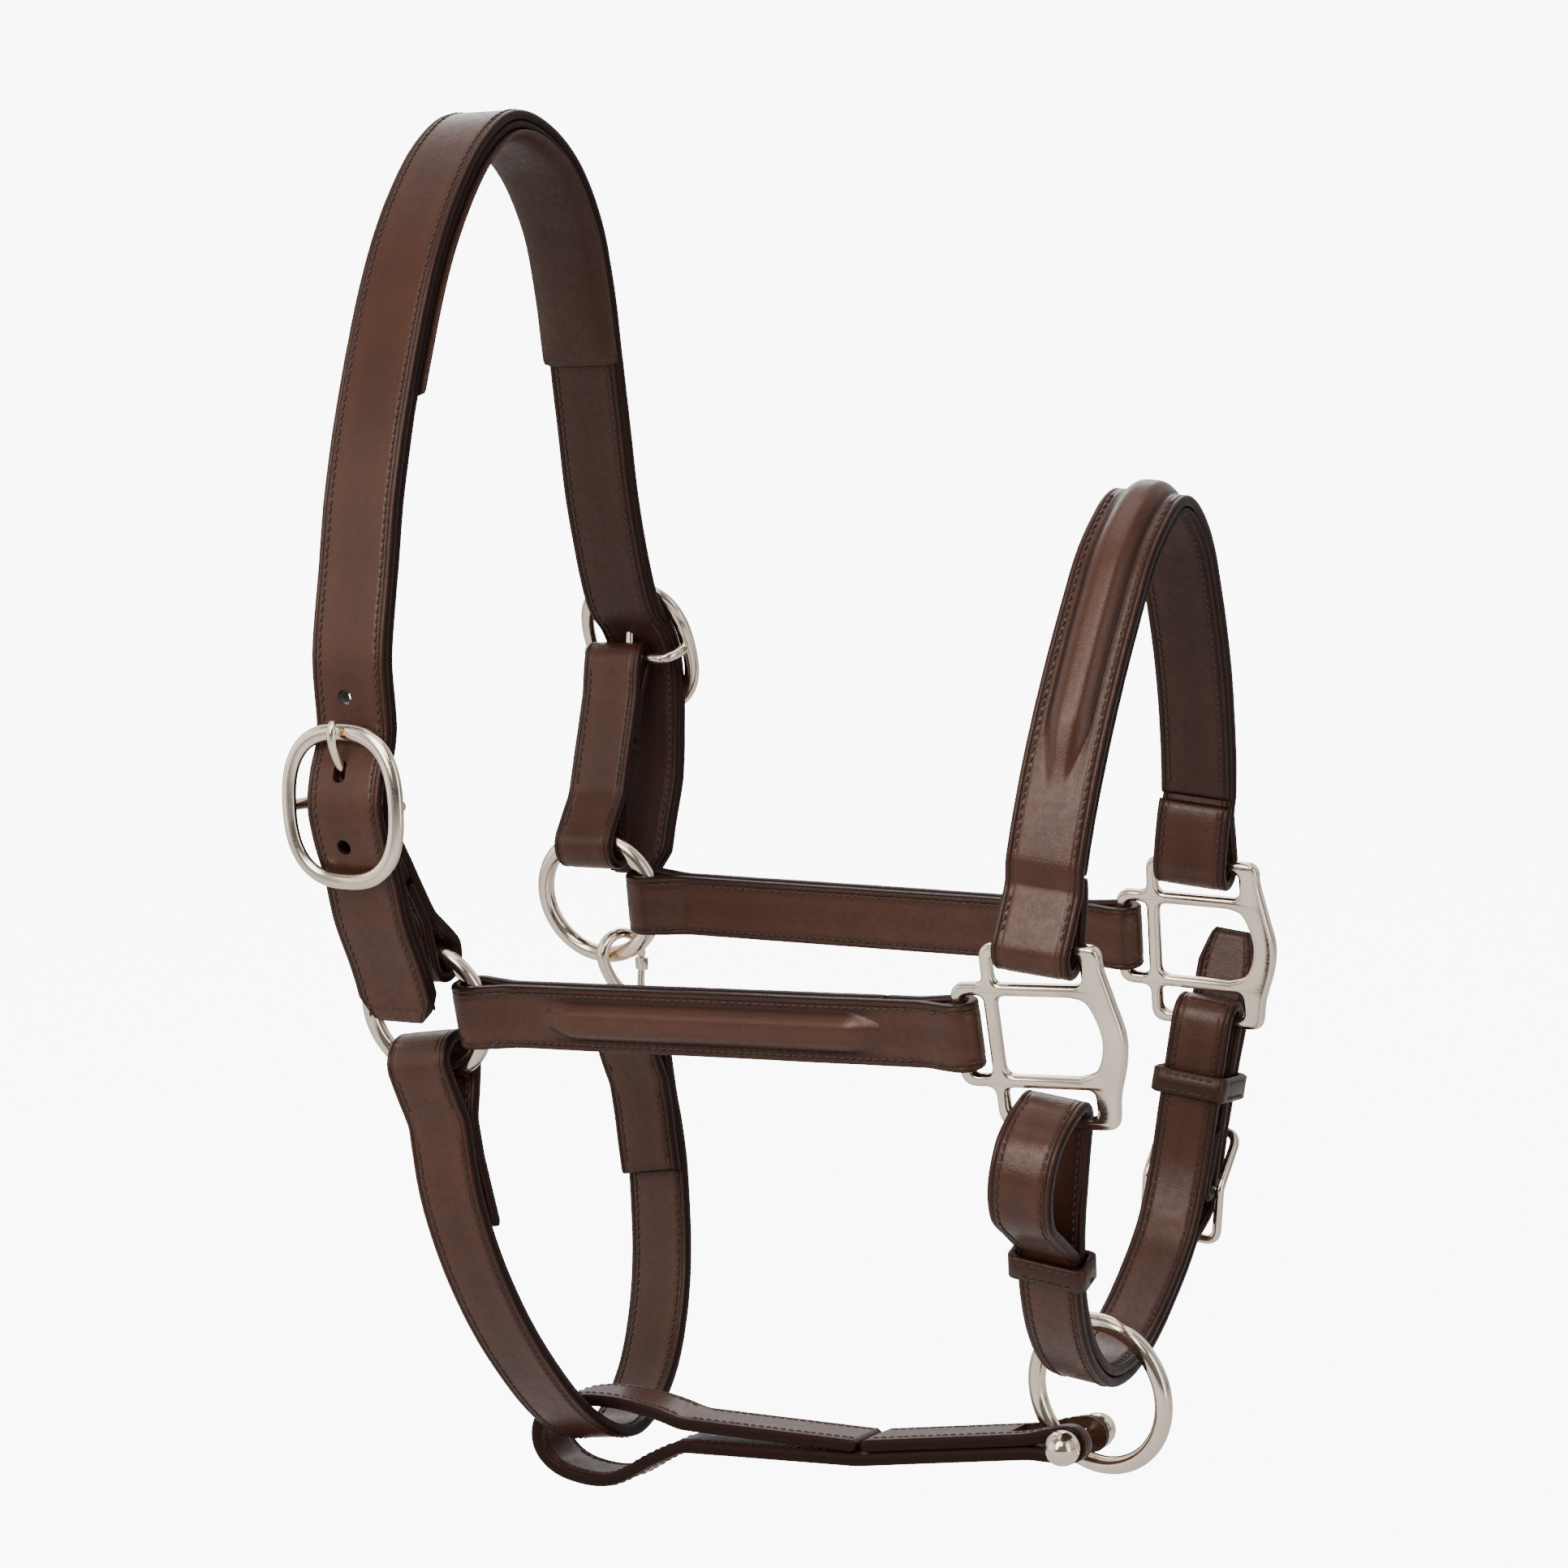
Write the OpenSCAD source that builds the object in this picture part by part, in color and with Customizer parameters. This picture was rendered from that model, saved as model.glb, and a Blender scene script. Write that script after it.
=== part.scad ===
// Leather headcollar with a padded poll, two crown buckles, an adjustable chin strap and a
// clip-on throat strap. Millimetres, +X towards the nose, +Y the horse's left, +Z up.
// Origin: underside of the poll pad at the top of the crown, in the middle plane.

/* [Crown] */
// Width of the crown strap
crown_w = 28; // [26:0.5:29]
// Thickness of the crown's outer leather
crown_outer_t = 3.4; // [3:0.1:3.6]
// Thickness of the crown's lining leather
crown_lining_t = 3.1; // [2.8:0.1:3.2]
// Thickness of the poll pad
pad_t = 5.5; // [4:0.5:7]
// Width of the poll pad
pad_w = 31; // [29:0.5:33]

/* [Straps] */
// Thickness of the single leathers that are folded
leather_t = 3.5; // [3.2:0.1:3.5]
// Width of the chapes between crown buckles and cheek rings
chape_w = 23.5; // [22:0.5:23.5]
// Width of the cheek straps
cheek_w = 22; // [20:0.5:22.5]
// Width of the noseband
nose_w = 25.4; // [23:0.2:25.8]
// Width of the chin strap
chin_w = 21; // [19:0.5:21]
// Width of the throat strap
throat_w = 24.5; // [22:0.5:24.5]
// Thickness of the throat strap
throat_t = 4.3; // [4:0.1:4.5]
// Width of the jaw link strap
link_w = 22; // [20:0.5:23]
// Thickness of each layer of the jaw link strap
link_t = 4.4; // [4:0.1:4.6]

/* [Metalwork] */
// Wire diameter of the three rings
ring_wire = 6; // [5.6:0.1:6.2]
// Mean radius of a cheek ring
cheek_ring_r = 22.5; // [22.2:0.1:23]
// Mean radius of the chin ring
chin_ring_r = 24.5; // [24.2:0.1:25]
// Thickness of a halter square's bars
bar = 4; // [3.6:0.1:4]

/* [Hidden] */
$fn = 48;
leather = "#3b2118";
edge_leather = "#2a1613";
nickel = "#c9c4ba";

// Poll seat, measured from the middle of the two cheek rings
poll_x = -4;
poll_z = 277.5;

// Cheek rings: centre, and the tilt of the line through both centres
ring_x = -10;
ring_y = 59;
ring_rise = 8;
ring_tilt = atan(ring_rise / ring_y);
nose_pitch = 2.2;

// Halter squares, measured from the cheek ring in the side's own frame
square_x = 230.5;
square_out = 8;
nose_sway = 3;
slot_x = -2.2;
bar_z = 28;
rear_bar_x = -30;

// Crown buckles: [outward, up] of the frame's middle, and how far the top leans inward
right_buckle = [106, 70];
right_lean = 2;
left_buckle = [91, 96];
left_lean = 20;
buckle_half_h = 24.3;
buckle_half_w = 20.4;
buckle_x = -6;
centre_bar_in = 9.4;
centre_bar_r = 2;

// Chin strap plane, buckle and ring
chin_lean = 7.5;
chin_x = 218.2;
chin_tilt = 10;
chin_frame_h = 18.5;
chin_frame_w = 13.2;
chin_bar_r = 1.5;
chin_ring_at = [205, 0, -137];
chin_ring_yaw = -10;

// Jaw link and its rod
link_roll = -8;
rod_at = [197.6, 0, -153.8];
rod_r = 2;
ball_r = 6;
ball_out = 14.5;

// Throat strap plane
throat_pitch = -8.7;
throat_yaw = -2;
throat_pivot_z = -30;
snap_x = 7;
eye_drop = 35.2;
snap_turn = -33;
slack = 0.1;

// ---- Path helpers: every strap is a flat band that follows a path of 2D points ----
function unit(v) = v / norm(v);
function left_of(v) = [-v.y, v.x];
function reverse(p) = [for (i = [len(p) - 1:-1:0]) p[i]];
function slice(p, a, b) = [for (i = [a:b]) p[i]];

// Point on a Catmull-Rom curve between b and c
function spline_point(a, b, c, d, t) =
    0.5 * (2 * b + (c - a) * t + (2 * a - 5 * b + 4 * c - d) * t * t
    + (3 * b - a - 3 * c + d) * t * t * t);

// Smooth curve through control points, n steps a span
function smooth(p, n = 4) = [
    for (i = [0:len(p) - 2]) for (k = [0:n - 1])
        spline_point(p[max(i - 1, 0)], p[i], p[i + 1], p[min(i + 2, len(p) - 1)], k / n),
    p[len(p) - 1]];

// Direction of a path at point i
function heading(p, i) = unit(p[min(i + 1, len(p) - 1)] - p[max(i - 1, 0)]);

// The path moved sideways by d, positive to the left of its direction
function shifted(p, d) = [for (i = [0:len(p) - 1]) p[i] + d * left_of(heading(p, i))];

// Teardrop round a bar at c: comes in on the right of d, goes round, leaves on the left of d.
// d points from the bar along the strap, r is the bend's middle radius.
function fold(c, d, r, reach, gap) = let(n = left_of(d)) concat(
    [c + d * reach - n * gap, c + d * reach * 0.5 - n * (gap + r) * 0.52],
    [for (a = [0:20:180]) c - r * (cos(a) * n + sin(a) * d)],
    [c + d * reach * 0.5 + n * (gap + r) * 0.52, c + d * reach + n * gap]);

// Flat band between two sideways offsets of a path
module band(path, a, b) {
    polygon(concat(shifted(path, b), reverse(shifted(path, a))));
}

// Band of the given thickness, centred on the path, across a width along X
module cross_strap(path, t, w) {
    rotate([90, 0, 90]) linear_extrude(w, center = true) band(path, -t / 2, t / 2);
}

// ---- Frames ----
module at_poll() {
    translate([-poll_x, 0, -poll_z]) children();
}

// Side frame: origin at the cheek ring's centre, X along the cheek strap
module side(s) {
    at_poll() translate([ring_x, s * ring_y, s * ring_rise])
        rotate([ring_tilt, 0, 0]) rotate([0, s * nose_pitch, 0]) children();
}

// The same frame as a function, before the move to the poll
function in_side(s, p) = let(
    a = s * nose_pitch,
    x = p.x * cos(a) + p.z * sin(a),
    z = p.z * cos(a) - p.x * sin(a))
    [ring_x + x, s * ring_y + p.y * cos(ring_tilt) - z * sin(ring_tilt),
     s * ring_rise + p.y * sin(ring_tilt) + z * cos(ring_tilt)];
function yz(p) = [p.y, p.z];
function square_y(s) = s * square_out + nose_sway;
function top_bar(s) = yz(in_side(s, [square_x + slot_x, square_y(s), bar_z]));
function low_bar(s) = yz(in_side(s, [square_x + slot_x, square_y(s), -bar_z]));
function ring_point(s, up) = yz(in_side(s, [0, 0, up * cheek_ring_r]));

// Buckle frame to [y, z]: w outward from the frame, v up along it
function buckle_of(s) = s < 0 ? right_buckle : left_buckle;
function lean_of(s) = s < 0 ? right_lean : left_lean;
function on_buckle(s, w, v) = let(b = buckle_of(s), a = lean_of(s))
    [s * (b.x + w * cos(a) - v * sin(a)), b.y + w * sin(a) + v * cos(a)];

// Chin buckle frame to [y, z]: w outward, v up
chin_bar_at = low_bar(1) - [-2 * cos(chin_tilt) + 57 * sin(chin_tilt), 2 * sin(chin_tilt) + 57 * cos(chin_tilt)];
function on_chin(w, v) = chin_bar_at
    + [w * cos(chin_tilt) + v * sin(chin_tilt), v * cos(chin_tilt) - w * sin(chin_tilt)];

// ---- Crown ----
crown_side_r = [[-85, -6], [-91, 12], [-99, 30]];
crown_arch = [[-101, 118], [-94, 146], [-87, 172], [-76, 201], [-58, 238], [-41, 262], [-22, 280],
    [-1, 289.5], [20, 286], [40, 273], [54, 252], [60, 230], [63, 208], [66, 182], [70, 150]];
crown_side_l = [[92, 48], [84, 30], [77, 13]];
function through_buckle(s) = [on_buckle(s, -4.1, -buckle_half_h), on_buckle(s, 1, -11.5),
    on_buckle(s, 3.4, 0), on_buckle(s, 1, 11.5), on_buckle(s, -4.1, buckle_half_h)];
crown_path = smooth(concat(crown_side_r, through_buckle(-1), crown_arch,
    reverse(through_buckle(1)), crown_side_l), 3);
crown_t = crown_outer_t + crown_lining_t;
pad_path = slice(crown_path, 33, 61);
spare_hole = 5;

module crown_band(a, b, w, path) {
    at_poll() translate([poll_x, 0, 0]) rotate([90, 0, 90])
        linear_extrude(w, center = true) band(path, a, b);
}

// Holes through the crown at each buckle: the tongue's slot and the spare holes
module crown_holes() {
    for (s = [-1, 1]) at_poll() {
        p = on_buckle(s, 0, 0);
        translate([buckle_x, p.x, p.y]) rotate([s * lean_of(s), 0, 0]) {
            rotate([90, 0, 0]) linear_extrude(30, center = true) {
                translate([0, 7]) circle(d = spare_hole + 0.5);
                translate([0, 18.5]) circle(d = spare_hole + 0.5);
                translate([0, 12.75]) square([spare_hole + 0.5, 11.5], center = true);
                translate([0, -13]) circle(d = spare_hole);
                translate([0, 35]) circle(d = spare_hole);
            }
        }
    }
}

module crown_outer() {
    color(leather) difference() {
        crown_band(-crown_outer_t, 0, crown_w, crown_path);
        crown_holes();
    }
}

module crown_lining() {
    color(edge_leather) difference() {
        crown_band(-crown_t, -crown_outer_t - slack, crown_w - 0.6, crown_path);
        crown_holes();
    }
}

module poll_pad() {
    color(leather) crown_band(-crown_t - pad_t, -crown_t - slack, pad_w, pad_path);
}

// ---- Crown buckles ----
// A bar from a to b in the YZ plane, at x
module rod_between(a, b, r) {
    d = b - a;
    translate(a) rotate([0, acos(d.z / norm(d)), atan2(d.y, d.x)]) cylinder(r = r, h = norm(d));
}

// Closed wire frame in the XZ plane: four quarter bends and four straights
module wire_frame(half_w, half_h, bend, r) {
    for (m = [0, 1]) mirror([m, 0, 0]) for (k = [0, 1]) mirror([0, 0, k]) {
        translate([half_w - bend, 0, half_h - bend]) rotate([90, 0, 0])
            rotate_extrude(angle = 90) translate([bend, 0]) circle(r);
    }
    for (m = [-1, 1]) {
        translate([m * half_w, 0, 0]) cylinder(r = r, h = 2 * (half_h - bend), center = true);
        translate([0, 0, m * half_h]) rotate([0, 90, 0]) cylinder(r = r, h = 2 * (half_w - bend), center = true);
    }
}

module in_buckle(s) {
    p = buckle_of(s);
    at_poll() translate([buckle_x, s * p.x, p.y]) rotate([s * lean_of(s), 0, 0]) children();
}

// Wire frame with two side posts that set the centre bar back from it
module crown_buckle(s) {
    color(nickel) in_buckle(s) {
        wire_frame(buckle_half_w, buckle_half_h, 12.5, 2.3);
        for (m = [-1, 1]) rod_between([m * buckle_half_w, 0, 0], [m * 18, -s * (centre_bar_in + 1.2), 0], 2.2);
        translate([0, -s * centre_bar_in, 0]) rotate([0, 90, 0])
            cylinder(r = centre_bar_r, h = 36, center = true);
    }
}

// Tongue: an eye round the centre bar and a shank that rests on the frame's top bar
module crown_tongue(s) {
    color(nickel) in_buckle(s) difference() {
        union() {
            translate([0, -s * centre_bar_in, 0]) rotate([0, 90, 0]) cylinder(r = 3.5, h = 3.4, center = true);
            cross_strap([[-s * (centre_bar_in - 1.5), 2.6], [s * 3.5, 20], [s * 4.4, 28.8]], 2.8, 2.8);
        }
        translate([0, -s * centre_bar_in, 0]) rotate([0, 90, 0])
            cylinder(r = centre_bar_r + 0.06, h = 10, center = true);
    }
}

// ---- Chapes: one leather round the centre bar above and the cheek ring below ----
chape_top_r = 4.3;
chape_low_r = 7.5;
function chape_top(s) = on_buckle(s, -centre_bar_in, 0);
function chape_low(s) = ring_point(s, 1 - 2.1 / cheek_ring_r);
function chape_path(s) = let(
    top = chape_top(s),
    low = chape_low(s),
    d = unit(top - low),
    gap = leather_t / 2 + slack)
    concat([low + 0.55 * (top - low) + s * left_of(d) * -gap],
        s < 0 ? fold(top, -d, chape_top_r, 14, gap) : reverse(fold(top, -d, chape_top_r, 14, gap)),
        s < 0 ? fold(low, d, chape_low_r, 17, gap) : reverse(fold(low, d, chape_low_r, 17, gap)),
        [low + 0.52 * (top - low) + s * left_of(d) * -gap]);

module chape(s) {
    top = chape_top(s);
    color(leather) difference() {
        at_poll() translate([ring_x + 0.2, 0, 0]) cross_strap(chape_path(s), leather_t, chape_w);
        at_poll() translate([buckle_x, top.x, top.y]) rotate([s * lean_of(s), 0, 0])
            translate([0, s * 3, 2.2]) cube([5, 14, 13.6], center = true);
    }
}

// ---- Cheek rings and straps ----
module cheek_ring(s) {
    color(nickel) side(s) rotate([90, 0, 0]) rotate_extrude() translate([cheek_ring_r, 0])
        circle(d = ring_wire);
}

cheek_fold_x = 20;
cheek_fold_r = 5.8;
rear_fold_r = 4.9;
function cheek_d(s) = unit([square_x + rear_bar_x - cheek_fold_x, s * square_y(s)]);
function cheek_end(s) = [square_x + rear_bar_x, s * square_y(s)];
// In [x, outward]: starts and ends at the butt joint on the inside
function cheek_path(s) = let(
    d = cheek_d(s),
    gap = leather_t / 2 + slack,
    butt = cheek_end(s) - d * 26 - left_of(d) * gap)
    concat([butt],
        fold([cheek_fold_x, 0], d, cheek_fold_r, 16, gap),
        fold(cheek_end(s), -d, rear_fold_r, 12, gap),
        [butt + d * 0.4]);

module cheek_strap(s) {
    color(leather) side(s) mirror([0, s < 0 ? 1 : 0, 0])
        linear_extrude(cheek_w, center = true) band(cheek_path(s), -leather_t / 2, leather_t / 2);
}

// Raised ridge on the outside of the cheek strap, pointed at both ends
module cheek_ridge(s) {
    d = cheek_d(s);
    half = cheek_w * 0.24;
    color(leather) side(s) mirror([0, s < 0 ? 1 : 0, 0])
        translate([cheek_fold_x, 0, 0]) rotate([0, 0, atan2(d.y, d.x)])
        translate([0, leather_t + 2.3, 0]) rotate([90, 0, 0]) linear_extrude(2)
        polygon([[22, 0], [34, half], [138, half], [150, 0], [138, -half], [34, -half]]);
}

// ---- Halter squares ----
window_w = 33.5;
window_h = 26;
// Outline in [x, z] round the window's middle: straight rear, bulged front
square_front = smooth([[19.3, 30], [19.4, 22], [22, 12], [24.4, 1], [23.6, -8], [20.2, -19], [19.4, -30]], 4);
window_front = smooth([[8, 13], [13.4, 10.6], [16.8, 0], [14.2, -10], [8, -13]], 4);

module square_plate() {
    rear = -window_w / 2 - bar;
    arm = window_h / 2 + bar;
    difference() {
        polygon(concat(square_front, [[rear, -30], [rear, -arm], [rear_bar_x - bar / 2, -arm],
            [rear_bar_x - bar / 2, arm], [rear, arm], [rear, 30]]));
        polygon(concat([[-window_w / 2, 13]], window_front, [[-window_w / 2, -13]]));
        for (m = [-1, 1]) translate([slot_x, m * 21.5]) square([29.3, 9], center = true);
        translate([rear_bar_x + bar / 2, -window_h / 2]) square([rear - rear_bar_x - bar / 2 - 0.2, window_h]);
    }
}

module halter_square(s) {
    color(nickel) side(s) translate([square_x, square_y(s), 0]) rotate([90, 0, 0])
        linear_extrude(bar, center = true) square_plate();
}

// ---- Noseband ----
nose_lean = 6;
nose_fold_r = 6.2;
nose_ends = [top_bar(-1), top_bar(1)];
nose_mid = smooth([nose_ends[0] + [2.2, 22], [-61.5, 70], [-50.5, 98], [-36, 125], [-21, 146], [0, 157.5],
    [21, 146], [36, 125], [50.5, 98], [61, 70], nose_ends[1] + [-1.8, 22]], 4);
nose_gap = leather_t / 2 + slack;
nose_outer_path = concat(
    [nose_mid[5] - left_of(heading(nose_mid, 5)) * (nose_gap + 0.3)],
    fold(nose_ends[0], heading(nose_mid, 1), nose_fold_r, 19, nose_gap),
    shifted(slice(nose_mid, 1, len(nose_mid) - 2), nose_gap),
    fold(nose_ends[1], -heading(nose_mid, len(nose_mid) - 2), nose_fold_r, 19, nose_gap),
    [nose_mid[len(nose_mid) - 6] - left_of(heading(nose_mid, len(nose_mid) - 6)) * (nose_gap + 0.3)]);
nose_lining_path = slice(nose_mid, 6, len(nose_mid) - 7);
nose_ridge_path = slice(nose_mid, 8, len(nose_mid) - 9);

module in_noseband() {
    at_poll() translate([square_x + ring_x + slot_x, 0, bar_z]) rotate([0, nose_lean, 0])
        translate([0, 0, -bar_z]) children();
}

module noseband_outer() {
    color(leather) in_noseband() cross_strap(nose_outer_path, leather_t, nose_w);
}

module noseband_lining() {
    color(edge_leather) in_noseband() rotate([90, 0, 90]) linear_extrude(nose_w - 0.6, center = true)
        band(nose_lining_path, -3.1, -slack);
}

// Round raised centre of the noseband
module noseband_ridge() {
    color(leather) in_noseband() rotate([90, 0, 90]) linear_extrude(9, center = true)
        band(nose_ridge_path, leather_t + 2 * slack, leather_t + 2.8);
}

// ---- Chin strap ----
chin_fold_r = 6.5;
chin_layer = leather_t + 2.5 * slack;
// Inner layer from the left square, under the jaw, to the right square
chin_under = [on_chin(-7.7, 24), on_chin(-7.5, 4), [53, -97], [38, -112], [21, -122.5], [3, -126.5],
    [-15, -122.5], [-33, -108], [-46, -88], [-52.5, -66], [-54.6, -46]];
chin_over = [[-72, -24.5], [-80.5, -31], [-84, -43], [-80, -55], [-69, -63]];
chin_bar_fold_r = 3.6;
chin_inner = smooth(chin_under, 4);
chin_wrap = reverse(shifted(slice(chin_inner, 8, 35), chin_layer));
chin_path = concat(
    // short turned-back tab, then round the buckle's centre bar
    [on_chin(-1.9, 20), on_chin(-2.4, 10)],
    [for (a = [180:30:360]) on_chin(chin_bar_fold_r * cos(a), chin_bar_fold_r * sin(a))],
    // up to the left square and over its lower bar
    smooth([on_chin(2.6, 10), on_chin(1.9, 26), on_chin(3.2, 46)], 3),
    [for (a = [20:20:160]) on_chin(-2 + chin_fold_r * cos(a), 57 + chin_fold_r * sin(a))],
    [on_chin(-8.3, 50), on_chin(-8.1, 38)],
    chin_inner,
    // over the right square's lower bar and back through the keeper
    [for (a = [20:20:120]) low_bar(-1) + chin_fold_r * [cos(a), sin(a)]],
    smooth(concat(chin_over, [chin_wrap[0]]), 4),
    slice(chin_wrap, 1, len(chin_wrap) - 1),
    // through the buckle and up beside the left square
    smooth([on_chin(-3, -14), on_chin(4.2, -9), on_chin(7.8, 0), on_chin(7.4, 10), on_chin(6.6, 20),
        on_chin(7.5, 40), on_chin(9.2, 57), on_chin(11, 88)], 3));

module in_chin() {
    at_poll() translate([chin_x, 0, -bar_z]) rotate([0, chin_lean, 0]) translate([0, 0, bar_z]) children();
}

module on_chin_frame() {
    in_chin() translate([0, chin_bar_at.x, chin_bar_at.y]) rotate([-chin_tilt, 0, 0]) children();
}

module chin_strap() {
    color(leather) difference() {
        in_chin() cross_strap(chin_path, leather_t, chin_w);
        on_chin_frame() {
            translate([0, 1.5, 1]) cube([4.6, 9, 10], center = true);
            translate([0, 7, 8.5]) cube([4.6, 9, 11], center = true);
            for (v = [42, 56]) translate([0, 9, v]) rotate([90, 0, 0]) cylinder(d = 4, h = 7, center = true);
        }
    }
}

// Leather keeper: a flat loop round the strap's layers, open along the strap
module keeper(across, thick, length) {
    wall = 2.2;
    linear_extrude(length, center = true) difference() {
        square([across + 2 * wall, thick + 2 * wall], center = true);
        square([across, thick], center = true);
    }
}

right_keeper_at = [-51.2, -77.6];
module right_chin_keeper() {
    color(edge_leather) in_chin() translate([0, right_keeper_at.x, right_keeper_at.y])
        rotate([16.5, 0, 0]) keeper(chin_w + 1.2, 2 * leather_t + 1.7, 9);
}

module left_chin_keeper() {
    color(edge_leather) on_chin_frame() translate([0, -0.4, 35]) keeper(chin_w + 1.2, 21.5, 9);
}

// Small frame, kinked in at its centre bar
module chin_buckle() {
    top = [10.2, chin_frame_h];
    low = [4.7, -chin_frame_h];
    color(nickel) on_chin_frame() {
        for (m = [-1, 1]) {
            rod_between([m * chin_frame_w, top.x, top.y], [m * chin_frame_w, -0.6, 0], 1.6);
            rod_between([m * chin_frame_w, low.x, low.y], [m * chin_frame_w, -0.3, 0], 1.6);
            for (e = [top, low]) translate([m * chin_frame_w, e.x, e.y]) sphere(1.6);
        }
        for (e = [top, low]) translate([0, e.x, e.y]) rotate([0, 90, 0])
            cylinder(r = 1.6, h = 2 * chin_frame_w, center = true);
        rotate([0, 90, 0]) cylinder(r = chin_bar_r, h = 2 * chin_frame_w, center = true);
    }
}

module chin_tongue() {
    color(nickel) on_chin_frame() difference() {
        union() {
            rotate([0, 90, 0]) cylinder(r = 2.9, h = 3, center = true);
            cross_strap([[1.2, 2], [12.3, 14], [13.7, 21.5]], 2.2, 2.4);
        }
        rotate([0, 90, 0]) cylinder(r = chin_bar_r + 0.06, h = 10, center = true);
    }
}

module chin_ring() {
    color(nickel) at_poll() translate(chin_ring_at) rotate([0, 0, chin_ring_yaw]) rotate([90, 0, 0])
        rotate_extrude() translate([chin_ring_r, 0]) circle(d = ring_wire);
}

// ---- Jaw link: a doubled strap round the throat strap behind and the rod in front ----
link_gap = link_t / 2 + slack;
link_rod_r = rod_r + link_t / 2 + 0.2;
// In [x, z]: the loop behind opens round the throat strap
link_loop = smooth([[52, -166.2 + link_gap], [40, -161], [24, -159.3], [8, -160.8], [-3.8, -167.2], [-6, -175.5],
    [-2, -182.5], [8, -187], [24, -187], [40, -178], [52, -169.5 - link_gap]], 4);
link_path = concat(
    [[120, -165.8 + link_gap]],
    link_loop,
    [[120, -166 - link_gap]],
    reverse(fold([rod_at.x, rod_at.z], unit([-60, -9.5]), link_rod_r, 15, link_gap)),
    [[121.5, -165.6 + link_gap]]);

module in_link() {
    at_poll() translate([0, 0, rod_at.z]) rotate([link_roll, 0, 0]) translate([0, 0, -rod_at.z]) children();
}

module link_strap() {
    color(leather) difference() {
        in_link() rotate([90, 0, 0]) linear_extrude(link_w, center = true)
            band(link_path, -link_t / 2, link_t / 2);
        // notch that the chin ring passes through
        at_poll() translate(rod_at + [-5, 1.5, 0]) cube([36, 13, 24], center = true);
    }
}

module link_rod() {
    color(nickel) in_link() translate(rod_at) {
        rotate([90, 0, 0]) cylinder(r = rod_r, h = 2 * ball_out, center = true);
        for (m = [-1, 1]) translate([0, m * ball_out, 0]) intersection() {
            sphere(ball_r);
            translate([0, m * 5, 0]) cube([20, 14, 20], center = true);
        }
    }
}

// ---- Throat strap ----
throat_fold_r = 9.2;
eye_r = 2;
eye_h = 8.9;
eye_half = 15.6;
eye_x = 1;
eye_fold_r = eye_r + throat_t / 2 + 0.35;
throat_gap = throat_t / 2 + slack;
throat_top_r = ring_point(-1, -1 + 3.4 / cheek_ring_r);
hook_at = in_side(1, [snap_x, 0, -sqrt(cheek_ring_r * cheek_ring_r - snap_x * snap_x)]) - [0, 0, 0.5];
base_out = 4;
throat_top_l = [hook_at.y + base_out * cos(snap_turn), hook_at.z - eye_drop];
throat_line = smooth([[-60, -50], [-61, -72], [-55.5, -100], [-43, -130], [-24, -158], [-4, -173.5],
    [14, -175], [36, -162], [54, -136], [64.5, -104], [68, -80], throat_top_l + [throat_gap, -16]], 4);
throat_fold_dir = unit(throat_line[1] + [throat_gap, 0] - throat_top_r);
function inside_throat(i) = throat_line[i] + left_of(heading(throat_line, i)) * (2 * throat_gap + 0.3);
throat_path = concat(
    [for (i = [6, 2]) inside_throat(i)],
    reverse(fold(throat_top_r, throat_fold_dir, throat_fold_r, 20, throat_gap)),
    slice(throat_line, 2, len(throat_line) - 3),
    reverse(fold(throat_top_l, -heading(throat_line, len(throat_line) - 2), eye_fold_r, 13, throat_gap)),
    [for (k = [4, 8]) inside_throat(len(throat_line) - k)]);

module in_throat() {
    at_poll() translate([ring_x + 2.2, 0, throat_pivot_z]) rotate([0, throat_pitch, throat_yaw])
        translate([0, 0, -throat_pivot_z]) children();
}

module throat_strap() {
    color(leather) in_throat() cross_strap(throat_path, throat_t, throat_w);
}

// ---- Snap hook ----
// In the hook's own frame: Y across it towards the gate, Z up, origin at the hook's bend
hook_r = 8;
hook_path = concat(
    smooth([[2.4, -20], [0.6, -15.5], [-4.2, -9.5], [-7.2, -3.3]], 3),
    [for (a = [180:-15:0]) hook_r * [cos(a), sin(a)]],
    [[hook_r, -1.8]]);
gate_pivot = [base_out + 3.2, -18.6];

module in_hook() {
    at_poll() translate(hook_at) rotate([0, 0, snap_turn]) children();
}

module snap_body() {
    color(nickel) in_hook() {
        rotate([90, 0, 90]) linear_extrude(5, center = true) band(hook_path, -2, 2);
        difference() {
            translate([0, base_out + 0.6, -19.3]) cube([7.4, 10, 4.6], center = true);
            // slot for the foot of the gate
            translate([0, gate_pivot.x + 1, gate_pivot.y + 1.5]) cube([4.4, 7, 8], center = true);
        }
        translate([0, base_out, -22]) cylinder(r = 2.4, h = 1, center = true);
    }
}

// Sprung gate: a foot on the pin, two thin bars and the cap that meets the hook's tip
module snap_gate() {
    color(nickel) in_hook() difference() {
        union() {
            translate([0, gate_pivot.x, gate_pivot.y]) rotate([0, 90, 0]) cylinder(r = 2.2, h = 4, center = true);
            for (m = [-1, 1]) rod_between([m * 0.95, gate_pivot.x, gate_pivot.y], [m * 0.95, hook_r, -6], 0.9);
            translate([0, hook_r, -4.6]) cube([5, 4, 5], center = true);
        }
        translate([0, gate_pivot.x, gate_pivot.y]) rotate([0, 90, 0]) cylinder(r = 0.86, h = 10, center = true);
    }
}

module snap_gate_pin() {
    color(nickel) in_hook() translate([0, gate_pivot.x, gate_pivot.y]) rotate([0, 90, 0])
        cylinder(r = 0.8, h = 4.4, center = true);
}

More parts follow.
